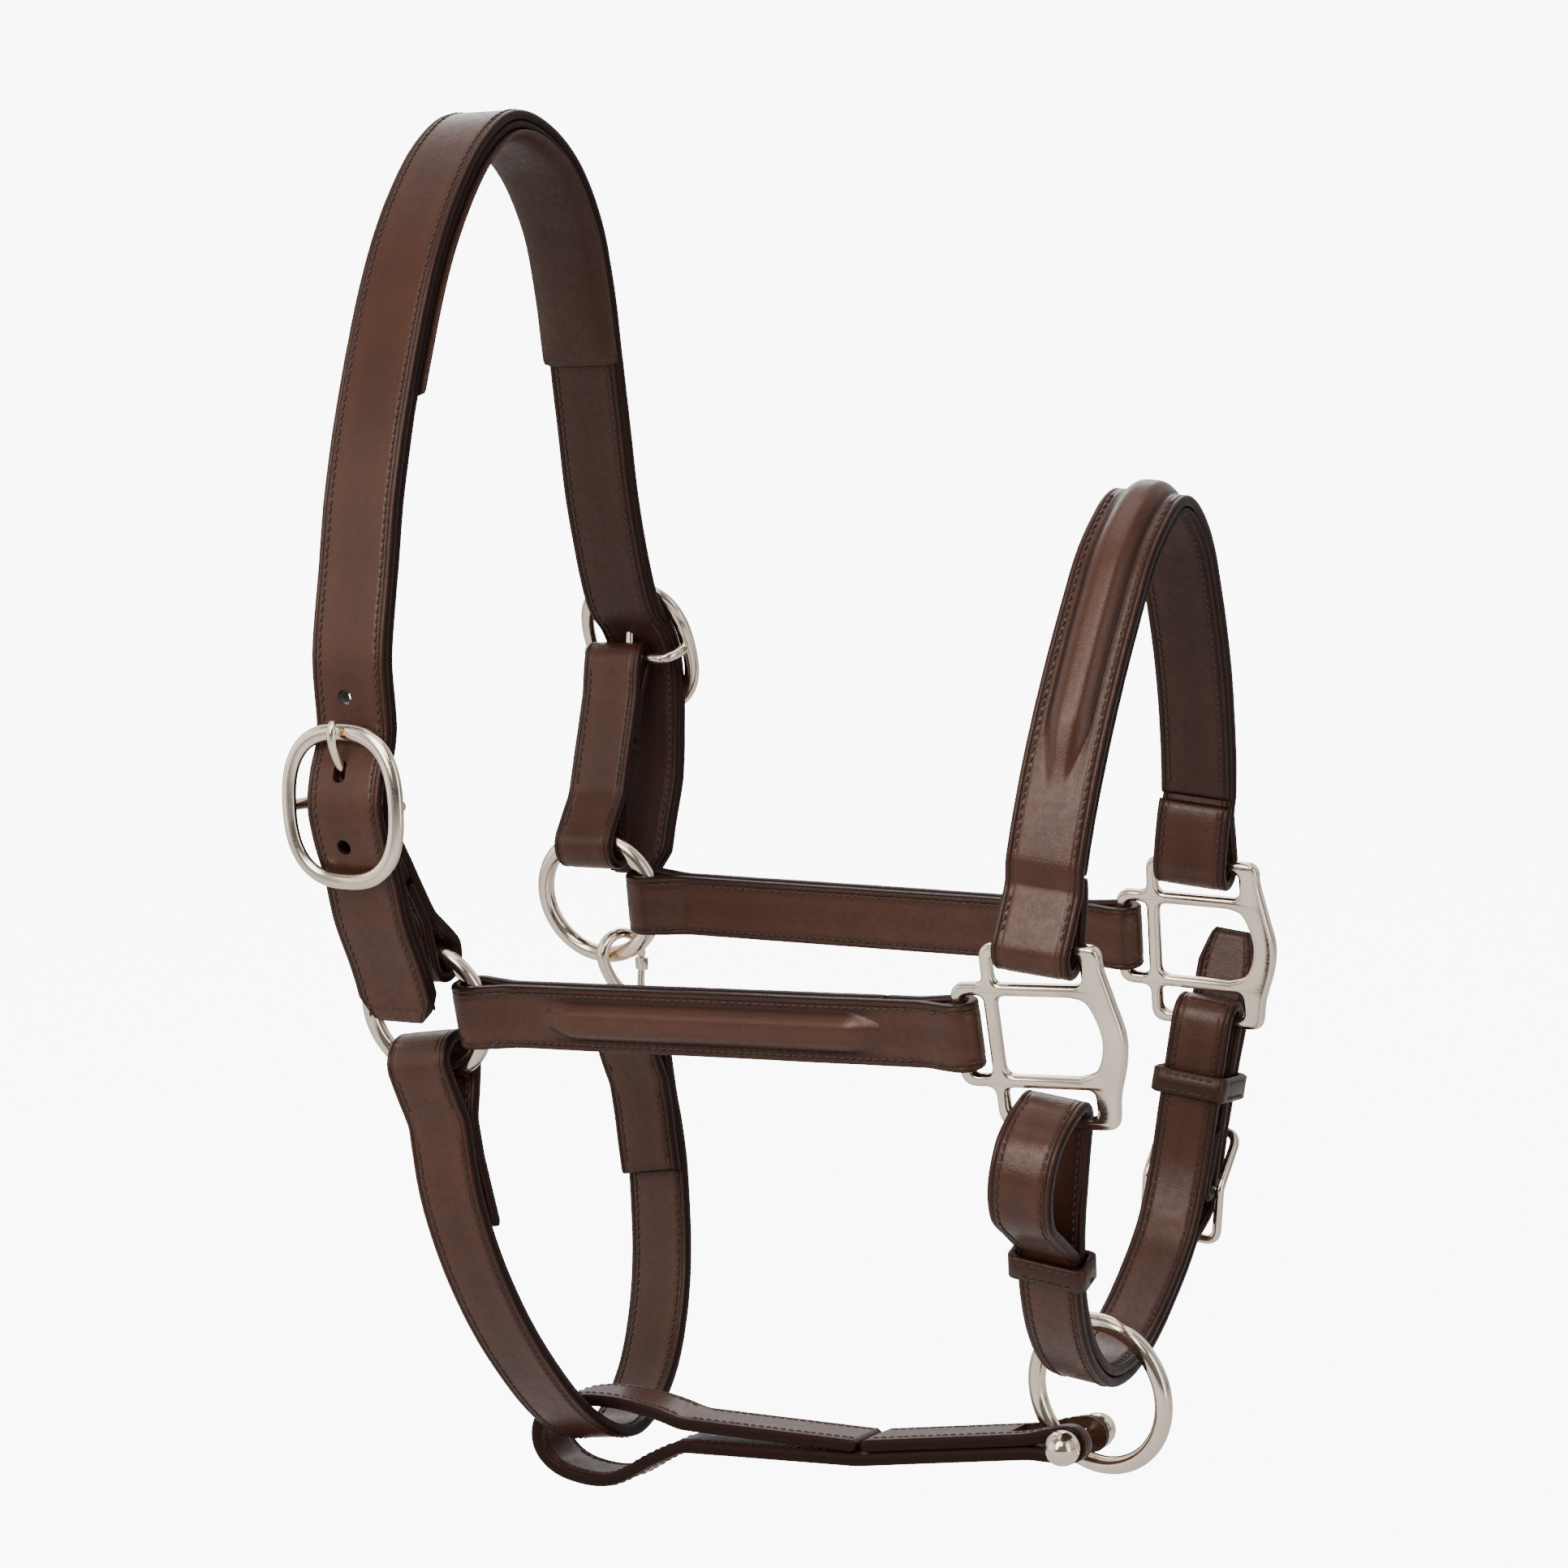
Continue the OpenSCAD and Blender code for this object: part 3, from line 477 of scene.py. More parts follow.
def strap(name, path, w, low, high, matrix, material, body, nodes, slot, ridge=None, tips=(0, 0), cuts=()):
    """A leather strap swept along a path: rounded edges, a crease and a stitch channel near each edge.
    ridge = (height, half width, start mm, end mm, taper mm) raises its middle; tips = how far each end narrows."""
    p = even(path)
    n = shifted(p, 1) - p
    along = length_along(p)
    sec = section(w, low, high)
    h, total, mid = w / 2, along[-1], (low + high) / 2
    a, b, face = sec[:, 0], sec[:, 1], sec[:, 2]
    dist = h - np.abs(a)
    b = b - face * (0.34 * np.exp(-((dist - EDGE) / 0.22) ** 2) + 0.22 * np.exp(-((dist - SEAM) / 0.4) ** 2))
    near = np.minimum(along, total - along)
    end = np.sqrt(np.clip(near / 1.1, 0.0, 1)) * 0.55 + 0.45
    narrow = np.ones_like(along)
    for k, s in enumerate((along, total - along)):
        if tips[k]:
            narrow = np.minimum(narrow, 0.60 + 0.40 * np.clip(s / tips[k], 0, 1) ** 0.7)
    verts, edge_and_shade, wear_and_sheen = [], [], []
    for i in range(len(p)):
        c = mid + (b - mid) * end[i]
        if ridge:
            top, half, s0, s1, taper = ridge
            lift = step(along[i], s0, s0 + taper) * (1 - step(along[i], s1 - taper, s1))
            width = half * (0.45 + 0.55 * lift)
            bump = np.exp(-(np.abs(a) / width) ** 4) * top - 0.45 * np.exp(-((np.abs(a) - width * 1.22) / 0.7) ** 2)
            c = c + np.where(face > 0, bump * lift, 0) * (np.abs(a) < h - 1.5)
        ripple = WAVE * noise.noise((along[i] * 0.05, low, w)) + WAVE * 0.5 * noise.noise((along[i] * 0.16, w, high))
        x = a * narrow[i] + ripple
        verts.append(np.stack([p[i, 0] + n[i, 0] * c, p[i, 1] + n[i, 1] * c, x], 1))
        fade = 1 - np.clip(near[i] / 1.6, 0, 1)
        # the cut edges and the cut ends of the strap take the edge colour
        dark = np.maximum(np.clip(1 - (dist - 0.25) / 0.85, 0, 1), fade) * 0.96
        # a darker band along the crease line in from each edge
        dark = dark + 0.42 * np.exp(-((dist - 1.9) / 0.9) ** 2) * (dist > 1.1)
        # a faint lighter band of wear in from each edge
        pale = 0.10 * np.exp(-((dist - 5.5) / 3.0) ** 2)
        if ridge:
            # painted shade: the grooves on each side of a ridge are darkened as if shadowed
            dark = dark + 0.75 * lift * (face > 0) * np.exp(-((np.abs(a) - half * 1.2) / 1.1) ** 2)
            # painted sheen: the top of a ridge is lightened like a broad highlight
            pale = pale + np.exp(-(np.abs(a) / (half * 0.6)) ** 2) * lift * 0.2
        edge_and_shade.append(dark)
        wear_and_sheen.append(np.clip(pale, 0, 1))
    ob = build(name, to_row(matrix, np.concatenate(verts)), skin(len(p), len(sec)), material, body, nodes,
               {"edge_and_shade": np.clip(np.concatenate(edge_and_shade), 0, 1), "wear_and_sheen": np.concatenate(wear_and_sheen)}, 62)
    for cut in cuts:
        carve(ob, cut)
    return ob


def carve(ob, cutter):
    m = ob.modifiers.new("cut", "BOOLEAN")
    m.object = cutter
    m.solver = "FAST"
    with bpy.context.temp_override(object=ob, active_object=ob, selected_objects=[ob]):
        bpy.ops.object.modifier_apply(modifier=m.name)


CUTTERS = []


def cutter(matrix, points, depth, lean=0.0):
    """A prism through a strap: points in the matrix's XZ plane, reaching depth each way along Y and rising by lean."""
    n = len(points)
    v = to_row(matrix, [[x, s * depth, z + s * depth * lean] for s in (-1, 1) for x, z in points])
    faces = [list(range(n))[::-1], list(range(n, 2 * n))] + [[i, (i + 1) % n, n + (i + 1) % n, n + i] for i in range(n)]
    mesh = bpy.data.meshes.new("cutter")
    mesh.from_pydata([tuple(q) for q in v], [], faces)
    face_out(mesh)
    ob = bpy.data.objects.new("cutter", mesh)
    bpy.context.scene.collection.objects.link(ob)
    CUTTERS.append(ob)
    return ob


def around_circle(n):
    return np.linspace(0, 2 * math.pi, n, endpoint=False)


def disc(r, z):
    return [(r * math.cos(q), z + r * math.sin(q)) for q in around_circle(28)]


def slot_shape(r, z0, z1):
    top = [(r * math.cos(q), z1 + r * math.sin(q)) for q in np.linspace(0, math.pi, 12)]
    low = [(r * math.cos(q), z0 + r * math.sin(q)) for q in np.linspace(math.pi, 2 * math.pi, 12)]
    return top + low


def stitch_shape():
    """One stitch: a plump rounded bar along X, 1 long and 1 wide."""
    rings, around = 5, 7
    verts = []
    for i in range(rings):
        u = -0.5 + i / (rings - 1)
        r = 0.5 * math.sqrt(max(0.12, 1 - (abs(u) * 1.9) ** 2.4))
        verts += [(u, r * math.cos(q), r * math.sin(q)) for q in around_circle(around)]
    return np.array(verts), skin(rings, around)


STITCH, STITCH_FACES = stitch_shape()
STITCH_SIZE, STITCH_PITCH, STITCH_DEEP = (2.4, 1.0, 0.85), 2.9, 0.04


def stitches(name, path, w, low, high, matrix, body, rows=None, faces_on=(1, -1), cross=(), max_bend=0.06):
    """Thread along both edges of a strap, on one or both faces, left out where the strap folds round metal.
    cross = (distance along, face) of each row of stitches sewn across it."""
    pace = 0.5
    p = even(path, pace)
    h = headings(p)
    n = shifted(p, 1) - p
    length = (len(p) - 1) * pace
    bend = np.abs(np.gradient(np.unwrap(np.arctan2(h[:, 1], h[:, 0])))) / pace
    rows = rows if rows is not None else (-(w / 2 - SEAM), w / 2 - SEAM)
    verts, faces = [], []

    def sew(i, a, face, across=False):
        level = high - STITCH_DEEP if face > 0 else low + STITCH_DEEP
        slant = rng.normal(0.22, 0.06)
        ex = np.array([h[i, 0] * math.cos(slant), h[i, 1] * math.cos(slant), math.sin(slant)])
        if across:
            ex = np.array([h[i, 0] * 0.1, h[i, 1] * 0.1, 1.0])
        ez = np.array([n[i, 0], n[i, 1], 0])
        ey = np.cross(ez, ex)
        c = np.array([p[i, 0] + n[i, 0] * level, p[i, 1] + n[i, 1] * level, a])
        q = STITCH * (np.array(STITCH_SIZE) * rng.normal(1, 0.04, 3))
        base = sum(len(x) for x in verts)
        verts.append(c + q[:, :1] * ex + q[:, 1:2] * ey + q[:, 2:] * ez)
        faces.extend([[base + k for k in f] for f in STITCH_FACES])

    for s in np.arange(3, length - 3, STITCH_PITCH):
        i = int(s / pace)
        if bend[max(i - 6, 0):i + 7].max() > max_bend:
            continue
        for a in rows:
            for face in faces_on:
                sew(i, a, face)
    for s, face in cross:
        for a in np.arange(-w / 2 + 4, w / 2 - 3.9, STITCH_PITCH):
            sew(min(int(s / pace), len(p) - 1), a, face, True)
    build(name, to_row(matrix, np.concatenate(verts)), faces, THREAD, body, (), smooth_angle=80)


def tube(points, radius, closed=False, around=16, flat=1.0, up=(0, 1, 0)):
    """Vertices and faces of a round or flattened bar along 3D points (mm). radius is one number or one per point."""
    p = np.asarray(points, float)
    count = len(p)
    r = np.broadcast_to(np.asarray(radius, float), (count,)).copy()
    if closed:
        tangent = np.roll(p, -1, 0) - np.roll(p, 1, 0)
    else:
        tangent = np.gradient(p, axis=0)
        out, size = np.array([0.9, 0.65, 0.3]), np.array([0.35, 0.75, 0.95])
        first, last = unit(tangent[0]), unit(tangent[-1])
        p = np.concatenate([p[0] - np.outer(out * r[0], first), p, p[-1] + np.outer(out[::-1] * r[-1], last)])
        r = np.concatenate([size * r[0], r, size[::-1] * r[-1]])
        tangent = np.concatenate([np.repeat(tangent[:1], 3, 0), tangent, np.repeat(tangent[-1:], 3, 0)])
        count += 6
    tangent = tangent / np.linalg.norm(tangent, axis=1)[:, None]
    up = np.asarray(up, float)
    nrm = np.zeros_like(p)
    if abs(up @ tangent[0]) > 0.98:
        up = np.array([0.0, 0.0, 1.0])
    prev = up - tangent[0] * (up @ tangent[0])
    for i in range(count):
        prev = prev - tangent[i] * (prev @ tangent[i])
        prev = prev / np.linalg.norm(prev)
        nrm[i] = prev
    other = np.cross(tangent, nrm)
    q = around_circle(around)[None, :, None]
    v = p[:, None] + r[:, None, None] * (nrm[:, None] * np.cos(q) * flat + other[:, None] * np.sin(q))
    return v.reshape(-1, 3), skin(count, around, closed)


def lathe(profile, matrix=np.eye(4), around=40):
    """Turns (radius, height) points about Z."""
    v = np.array([[r * math.cos(a), r * math.sin(a), z] for r, z in profile for a in around_circle(around)])
    return v @ matrix[:3, :3].T + matrix[:3, 3], skin(len(profile), around)


def solid(name, parts, matrix, body, nodes):
    """One metal piece of several closed parts."""
    verts, faces, base = [], [], 0
    for v, f in parts:
        verts.append(v)
        faces += [[base + k for k in face] for face in f]
        base += len(v)
    build(name, to_row(matrix, np.concatenate(verts)), faces, NICKEL, body, nodes, smooth_angle=50)


def block(outline, half):
    """A cast block: an outline in the YZ plane, half wide each way along X, with eased ends."""
    y = np.asarray(outline, float)
    mid = y.mean(0)
    rings = [(-half, 0.86), (-half + 0.35, 1.0), (half - 0.35, 1.0), (half, 0.86)]
    v = np.array([[x, *(mid + (q - mid) * k)] for x, k in rings for q in y])
    return v, skin(len(rings), len(y))


def rounded(points, radii, steps=7):
    """Closed outline with each corner eased by its radius."""
    pts = [np.asarray(p, float) for p in points]
    radii = np.broadcast_to(radii, (len(pts),))
    out = []
    for i, p in enumerate(pts):
        a, b = pts[i - 1] - p, pts[(i + 1) % len(pts)] - p
        r = min(radii[i], np.linalg.norm(a) * 0.49, np.linalg.norm(b) * 0.49)
        if r < 0.05:
            out.append(p)
            continue
        s, e = p + unit(a) * r, p + unit(b) * r
        out += [(1 - t) ** 2 * s + 2 * t * (1 - t) * p + t * t * e for t in np.linspace(0, 1, steps)]
    return np.array(out)


# ---- Straps ----
def crown():
    cuts = []
    for s in (-1, 1):
        m = in_buckle(s)
        cuts.append(cutter(m @ move(0, s * 3.4, 0), slot_shape(2.3, 12.0, 17.2), 11, s * 1.1))
        cuts += [cutter(m, disc(2.5, -13), 15), cutter(m, disc(2.5, 35), 15)]
    m = AT_POLL @ move(POLL_X, 0, 0) @ ACROSS_X
    strap("crown_strap", CROWN_PATH, CROWN_W, -CROWN_OUTER_T, 0, m, STRAP, "crown", ["crown_outer"],
          "strap_leather", tips=(9, 9), cuts=cuts)
    strap("crown_lining_strap", CROWN_PATH, CROWN_W - 0.6, -CROWN_T, -CROWN_OUTER_T - SLACK, m, DARK, "crown",
          ["crown_lining"], "dark_leather", tips=(9, 9), cuts=cuts)
    stitches("crown_thread", CROWN_PATH, CROWN_W, -CROWN_T, 0, m, "crown", max_bend=0.2,
             cross=[(5.5, 1), (length_along(CROWN_PATH)[-1] - 5.5, 1)])


def poll_pad():
    """The stuffed pad: its skin is swept over the crown's lining, then inflated as cloth with its seams held."""
    under = CROWN_PATH[33 * FINE:61 * FINE + 1]
    path = even(under, 3.2)
    n = shifted(path, 1) - path
    matrix = AT_POLL @ move(POLL_X, 0, 0) @ ACROSS_X
    total = len(path) - 1
    half, top, deep = PAD_W / 2, -CROWN_T - SLACK, PAD_T - 1.0
    cols = np.linspace(-1, 1, 13)
    verts = []
    for i in range(len(path)):
        swell = min(1, math.sqrt(max(0.0, min(i, total - i) / 4.0)) * 0.9 + 0.1)
        ring = [(c * half, top) for c in cols]
        ring += [(c * half, top - 1.1 - deep * 0.62 * (1 - c ** 4) * swell) for c in cols[::-1]]
        verts += [(path[i, 0] + n[i, 0] * b, path[i, 1] + n[i, 1] * b, a) for a, b in ring]
    k = 2 * len(cols)
    seam = [j < len(cols) or j in (len(cols), k - 1) for _ in range(total + 1) for j in range(k)]
    ob = build("poll_pad_skin", to_row(matrix, verts), skin(total + 1, k), PAD, "crown", ["poll_pad"],
               smooth_angle=70)
    group = ob.vertex_groups.new(name="seam")
    group.add([i for i, held in enumerate(seam) if held or i < k or i >= total * k], 1.0, "REPLACE")
    frames, reach = 20, 1.1 * MM
    c = ob.modifiers.new("inflate", "CLOTH")
    c.settings.use_pressure = True
    c.settings.uniform_pressure_force = 4
    c.settings.vertex_group_mass = "seam"
    c.settings.effector_weights.gravity = 0
    c.settings.tension_stiffness = 40
    c.settings.bending_stiffness = 4
    c.settings.quality = 6
    c.point_cache.frame_end = frames
    before = np.array([v.co for v in ob.data.vertices])
    for f in range(1, frames + 1):
        bpy.context.scene.frame_set(f)
    settled = ob.evaluated_get(bpy.context.evaluated_depsgraph_get())
    after = np.array([v.co for v in settled.data.vertices])
    ob.modifiers.remove(c)
    bpy.context.scene.frame_set(1)
    shift = after - before
    size = np.linalg.norm(shift, axis=1)
    shift *= np.minimum(1, reach / np.maximum(size, 1e-9))[:, None]
    creases = np.array([noise.noise((v[1] * 160, v[2] * 160, 3.0)) for v in before]) * 0.35 * MM
    outward = np.array([v.normal for v in ob.data.vertices])
    after = before + shift + outward * creases[:, None] * ~np.array(seam)[:, None]
    ob.data.vertices.foreach_set("co", after.astype(np.float32).ravel())
    ob.data.update()
    sub = ob.modifiers.new("smooth", "SUBSURF")
    sub.levels = sub.render_levels = 1
    stitches("pad_thread", under, PAD_W, -CROWN_T - 1.6, -CROWN_T - 0.6, matrix, "crown",
             rows=(-(PAD_W / 2 - 1.6), PAD_W / 2 - 1.6), faces_on=(-1,), max_bend=0.2)


def chapes():
    m = AT_POLL @ move(RING_X + 0.2, 0, 0) @ ACROSS_X
    for s, word in ((-1, "right"), (1, "left")):
        path = chape_path(s)
        top = on_buckle(s, -CENTRE_IN, 0)
        notch = AT_POLL @ move(BUCKLE_X, *top) @ turn("X", s * LEAN[s]) @ move(0, s * 1, 0)
        cuts = [cutter(notch, slot_shape(2.5, -4, 7), 9)]
        strap(word + "_chape_strap", path, CHAPE_W, *HALVES, m, STRAP, "crown", [word + "_chape"], "strap_leather",
              cuts=cuts)
        stitches(word + "_chape_thread", path, CHAPE_W, *HALVES, m, "crown")


def cheeks():
    for s, word in ((-1, "right"), (1, "left")):
        m = side(s) @ np.diag([1, s, 1, 1]).astype(float)
        path = cheek_path(s)
        first = length_along(path)[23]
        strap(word + "_cheek_leather", path, CHEEK_W, *HALVES, m, STRAP, "headstall",
              [word + "_cheek_strap", word + "_cheek_ridge"], "strap_leather",
              ridge=(3.7, 5.7, first + 8, first + 142, 17))
        stitches(word + "_cheek_thread", path, CHEEK_W, *HALVES, m, "headstall", rows=(-8.4, 8.4))


def noseband():
    m = IN_NOSE @ ACROSS_X
    length = length_along(NOSE_PATH)
    start, stop = length[24 + 7 * FINE], length[24 + len(NOSE_MID) - 1 - 9 * FINE]
    strap("noseband_leather", NOSE_PATH, NOSE_W, *HALVES, m, STRAP, "headstall",
          ["noseband_outer", "noseband_ridge"], "strap_leather", ridge=(3.7, 6.0, start - 26, stop + 26, 24))
    stitches("noseband_thread", NOSE_PATH, NOSE_W, *HALVES, m, "headstall", rows=(-9.8, 9.8))
    lining = NOSE_MID[LINING_END:-LINING_END]
    strap("noseband_lining_leather", lining, NOSE_W - 0.6, -NOSE_LINING_T, -SLACK, m, DARK, "headstall",
          ["noseband_lining"], "dark_leather")
    stitches("noseband_lining_thread", lining, NOSE_W, -NOSE_LINING_T, -SLACK, m, "headstall", faces_on=(-1,))


def chin():
    m = IN_CHIN @ ACROSS_X
    cuts = [cutter(ON_CHIN @ move(0, 1.5, 0), slot_shape(2.2, -1.6, 3.6), 4.5),
            cutter(ON_CHIN @ move(0, 7, 0), slot_shape(2.2, 3.4, 11.8), 4.5),
            cutter(ON_CHIN @ move(0, 9, 0), disc(2.0, 42), 3.6), cutter(ON_CHIN @ move(0, 9, 0), disc(2.0, 56), 3.6)]
    strap("chin_leather", CHIN_PATH, CHIN_W, *HALVES, m, STRAP, "headstall", ["chin_strap"], "strap_leather",
          tips=(0, 12), cuts=cuts)
    stitches("chin_thread", CHIN_PATH, CHIN_W, *HALVES, m, "headstall", max_bend=0.09)


def keeper(word, matrix, across, thick, body, node_name):
    """A flat leather loop with rounded corners, sewn along both edges."""
    wall, h = 2.2, 4.5

    def corners(grow):
        x, y = across / 2 + grow, thick / 2 + grow
        return [(-x, -y), (x, -y), (x, y), (-x, y)]

    outline, inside = rounded(corners(wall), 3.4), rounded(corners(0), 1.5)
    middle = (outline + inside) / 2
    rows = [(outline, -h + 0.7, 0.35), (outline, h - 0.7, 0.35), (middle, h, 1.0), (inside, h - 0.5, 1.0),
            (inside, -h + 0.5, 1.0), (middle, -h, 1.0)]
    n = len(outline)
    verts = np.concatenate([np.column_stack([shape, np.full(n, z)]) for shape, z, _ in rows])
    edge_and_shade = [dark for _, _, dark in rows for _ in range(n)]
    build(word + "_keeper_leather", to_row(matrix, verts), skin(len(rows), n, True), STRAP, body, [node_name],
          {"edge_and_shade": edge_and_shade, "wear_and_sheen": [0.0] * len(edge_and_shade)}, 60)
    loop = rounded(corners(wall), 3.4, 5)
    loop = np.concatenate([loop, loop[:1]])
    stitches(word + "_keeper_thread", loop, 9, -0.1, 0.1, matrix, body, rows=(-2.7, 2.7), faces_on=(1,), max_bend=0.2)


def keepers():
    right = IN_CHIN @ move(0, -51.2, -77.6) @ turn("X", 16.5)
    left = ON_CHIN @ move(0, -0.4, 35)
    keeper("right_chin", right, CHIN_W + 1.2, 2 * LEATHER_T + 1.7, "right_keeper", "right_chin_keeper")
    keeper("left_chin", left, CHIN_W + 1.2, 21.5, "left_keeper", "left_chin_keeper")


def jaw_link():
    m = IN_LINK @ ACROSS_Y
    notch = AT_POLL @ move(ROD_AT[0] - 5, 1.5, ROD_AT[2])
    box = cutter(notch, [(-18, -12), (18, -12), (18, 12), (-18, 12)], 6.5)
    strap("link_leather", LINK_PATH, LINK_W, -LINK_T / 2, LINK_T / 2, m, STRAP, "headstall", ["link_strap"],
          "strap_leather", cuts=[box])
    stitches("link_thread", LINK_PATH, LINK_W, -LINK_T / 2, LINK_T / 2, m, "headstall")
    ball = [(0.4, -6.0), (2.4, -5.5), (4.2, -4.3), (5.5, -2.5), (6.0, 0), (5.5, 2.5), (4.4, 4.1), (3.4, 4.9),
            (2.9, 5.1), (2.9, 6.2), (2.1, 6.4)]
    parts = [tube([[0, y, 0] for y in np.linspace(-14, 14, 8)], 2.0)]
    parts += [lathe(ball, move(0, e * 15.5, 0) @ turn("X", e * 90)) for e in (-1, 1)]
    solid("link_rod_metal", parts, IN_LINK @ move(*ROD_AT), "headstall", ["link_rod"])


def throat():
    m = IN_THROAT @ ACROSS_X
    strap("throat_leather", THROAT_PATH, THROAT_W, -THROAT_T / 2, THROAT_T / 2, m, STRAP, "headstall",
          ["throat_strap"], "strap_leather")
    stitches("throat_thread", THROAT_PATH, THROAT_W, -THROAT_T / 2, THROAT_T / 2, m, "headstall")


# ---- Metalwork ----
def ring(name, radius, matrix, body, nodes):
    """Bent wire ring, with the slight neck where its ends are welded."""
    q = around_circle(128)
    neck = 1 - 0.035 * np.exp(-((q - math.pi * 0.5) / 0.03) ** 2) + 0.02 * np.exp(-((q - math.pi * 0.5) / 0.09) ** 2)
    points = np.stack([radius * np.cos(q), 0 * q, radius * np.sin(q)], 1)
    solid(name, [tube(points, RING_WIRE / 2 * neck, closed=True, around=24)], matrix, body, nodes)


def crown_buckles():
    for s, word in ((-1, "right"), (1, "left")):
        q, square = around_circle(120), 2.55
        c, z = np.cos(q), np.sin(q)
        k = (np.abs(c) ** square + np.abs(z) ** square) ** (-1 / square)
        frame_path = np.stack([BUCKLE_HW * c * k, s * 0.5 * np.cos(2 * q), BUCKLE_H * z * k], 1)
        parts = [tube(frame_path, 2.75 + 0.25 * np.cos(q - 0.5), closed=True, around=24, flat=0.68)]
        bar = [[19.8, 0, 0], [18.7, -s * 4.5, 0], [16.4, -s * 7.9, 0], [13.2, -s * CENTRE_IN, 0],
               [5, -s * CENTRE_IN, 0]]
        bar = smooth([*bar, *[[-x, y, t] for x, y, t in bar[::-1]]], 6)
        parts.append(tube(bar, 1.95, around=18, up=(0, 0, 1)))
        m = in_buckle(s)
        solid(word + "_buckle_metal", parts, m, "crown", [f"{word}_crown_buckle"])
        y = -s * CENTRE_IN
        eye = [[1.2 * math.sin(a * 0.5) - 0.3, y + 2.9 * math.cos(a), 2.9 * math.sin(a)]
               for a in np.linspace(0, 2 * math.pi, 30)]
        prong = smooth([[0, y + s * 2.6, 2.2], [0, y + s * 6.5, 9], [0, s * 1.4, 15], [0, s * 3.9, 20.5],
                        [0, s * 4.4, 24.5], [0, s * 3.7, 27.2]], 7)
        width = np.interp(np.linspace(0, 1, len(prong)), [0, 0.3, 0.8, 1], [1.5, 1.65, 1.6, 1.35])
        parts = [tube(eye, 1.15, around=14), tube(prong, width, around=16, flat=0.85)]
        solid(word + "_tongue_metal", parts, m, word + "_crown_tongue", [f"{word}_crown_tongue"])


def square_outline():
    rear, arm = -33.5 / 2 - BAR, 26 / 2 + BAR
    front = smooth([[13, 30], [17.2, 29.4], [19.2, 27], [19.6, 22], [22, 12], [24.4, 1], [23.6, -8], [20.4, -19],
                    [19.2, -27], [17.2, -29.4], [13, -30]], 7)
    window_front = smooth([[8, 13], [13.4, 10.6], [16.8, 0], [14.2, -10], [8, -13]], 8)
    back = REAR_BAR_X - BAR / 2
    outer = [*front, [rear, -30], [rear, -arm], [back, -arm], [back, arm], [rear, arm], [rear, 30]]
    radii = [0] * len(front) + [5.5, 3.0, 6.0, 6.0, 3.0, 5.5]
    window = [[-16.75, 13], *window_front, [-16.75, -13]]
    holes = [rounded(window, [3.4] + [0] * len(window_front) + [3.4])]
    for k in (-1, 1):
        z0, z1 = sorted((k * 17, k * 26))
        holes.append(rounded([(-16.85, z0), (12.45, z0), (12.45, z1), (-16.85, z1)], 2.6))
    holes.append(rounded([(back + BAR, -13), (rear - 0.2, -13), (rear - 0.2, 13), (back + BAR, 13)], 2.4))
    return rounded(outer, radii), holes


def halter_squares():
    """Cast plates: flat outline with holes, thick enough for rounded bars."""
    outer, holes = square_outline()
    flat, eased = 0.55, 1.45
    for s, word in ((-1, "right"), (1, "left")):
        curve = bpy.data.curves.new(word + "_square", "CURVE")
        curve.dimensions = "2D"
        curve.fill_mode = "BOTH"
        curve.extrude = flat * MM
        curve.bevel_depth = eased * MM
        curve.offset = -eased * MM
        curve.bevel_resolution = 5
        for shape in [outer, *holes]:
            line = curve.splines.new("POLY")
            line.points.add(len(shape) - 1)
            for q, (x, z) in zip(line.points, shape):
                q.co = (x * MM, z * MM, 0, 1)
            line.use_cyclic_u = True
        temp = bpy.data.objects.new("temp", curve)
        bpy.context.scene.collection.objects.link(temp)
        bpy.context.view_layer.update()
        mesh = bpy.data.meshes.new_from_object(temp.evaluated_get(bpy.context.evaluated_depsgraph_get()))
        bpy.data.objects.remove(temp)
        m = side(s) @ move(SQUARE_X, square_y(s), 0)
        v = np.array([q.co for q in mesh.vertices])
        swell = 1 + 0.22 * np.exp(-((v[:, 0] - 22 * MM) / (7 * MM)) ** 2)
        local = np.stack([v[:, 0], -v[:, 2] * swell, v[:, 1]], 1) / MM
        faces = [list(f.vertices) for f in mesh.polygons]
        ob = build(word + "_square_metal", to_row(m, local), faces, NICKEL, "headstall", [f"{word}_halter_square"],
                   smooth_angle=35)
        face_out(ob.data, merge=True)


def chin_buckle():
    hw, hh = 13.2, 18.5
    ring_path = rounded([(-hw, -hh), (hw, -hh), (hw, 0), (hw, hh), (-hw, hh), (-hw, 0)], [4.5, 4.5, 3, 4.5, 4.5, 3], 9)

    def lift(z):
        return np.interp(z, [-hh, -2, 0, 2, hh], [4.7, 0.2, -0.3, 0.3, 10.2])

    path = np.array([[x, lift(z), z] for x, z in ring_path])
    parts = [tube(path, 1.65, closed=True, around=18),
             tube([[x, 0, 0] for x in np.linspace(-hw, hw, 8)], 1.5, up=(0, 0, 1))]
    solid("chin_buckle_metal", parts, ON_CHIN, "headstall", ["chin_buckle"])
    eye = [[0.9 * math.sin(a * 0.5) - 0.2, 2.35 * math.cos(a), 2.35 * math.sin(a)]
           for a in np.linspace(0, 2 * math.pi, 26)]
    prong = smooth([[0, 1.6, 1.8], [0, 7.2, 8.2], [0, 12.2, 14], [0, 13.6, 18.5], [0, 13.4, 21.3]], 7)
    parts = [tube(eye, 0.85, around=12), tube(prong, np.linspace(1.2, 0.9, len(prong)), around=14)]
    solid("chin_tongue_metal", parts, ON_CHIN, "chin_tongue", ["chin_tongue"])


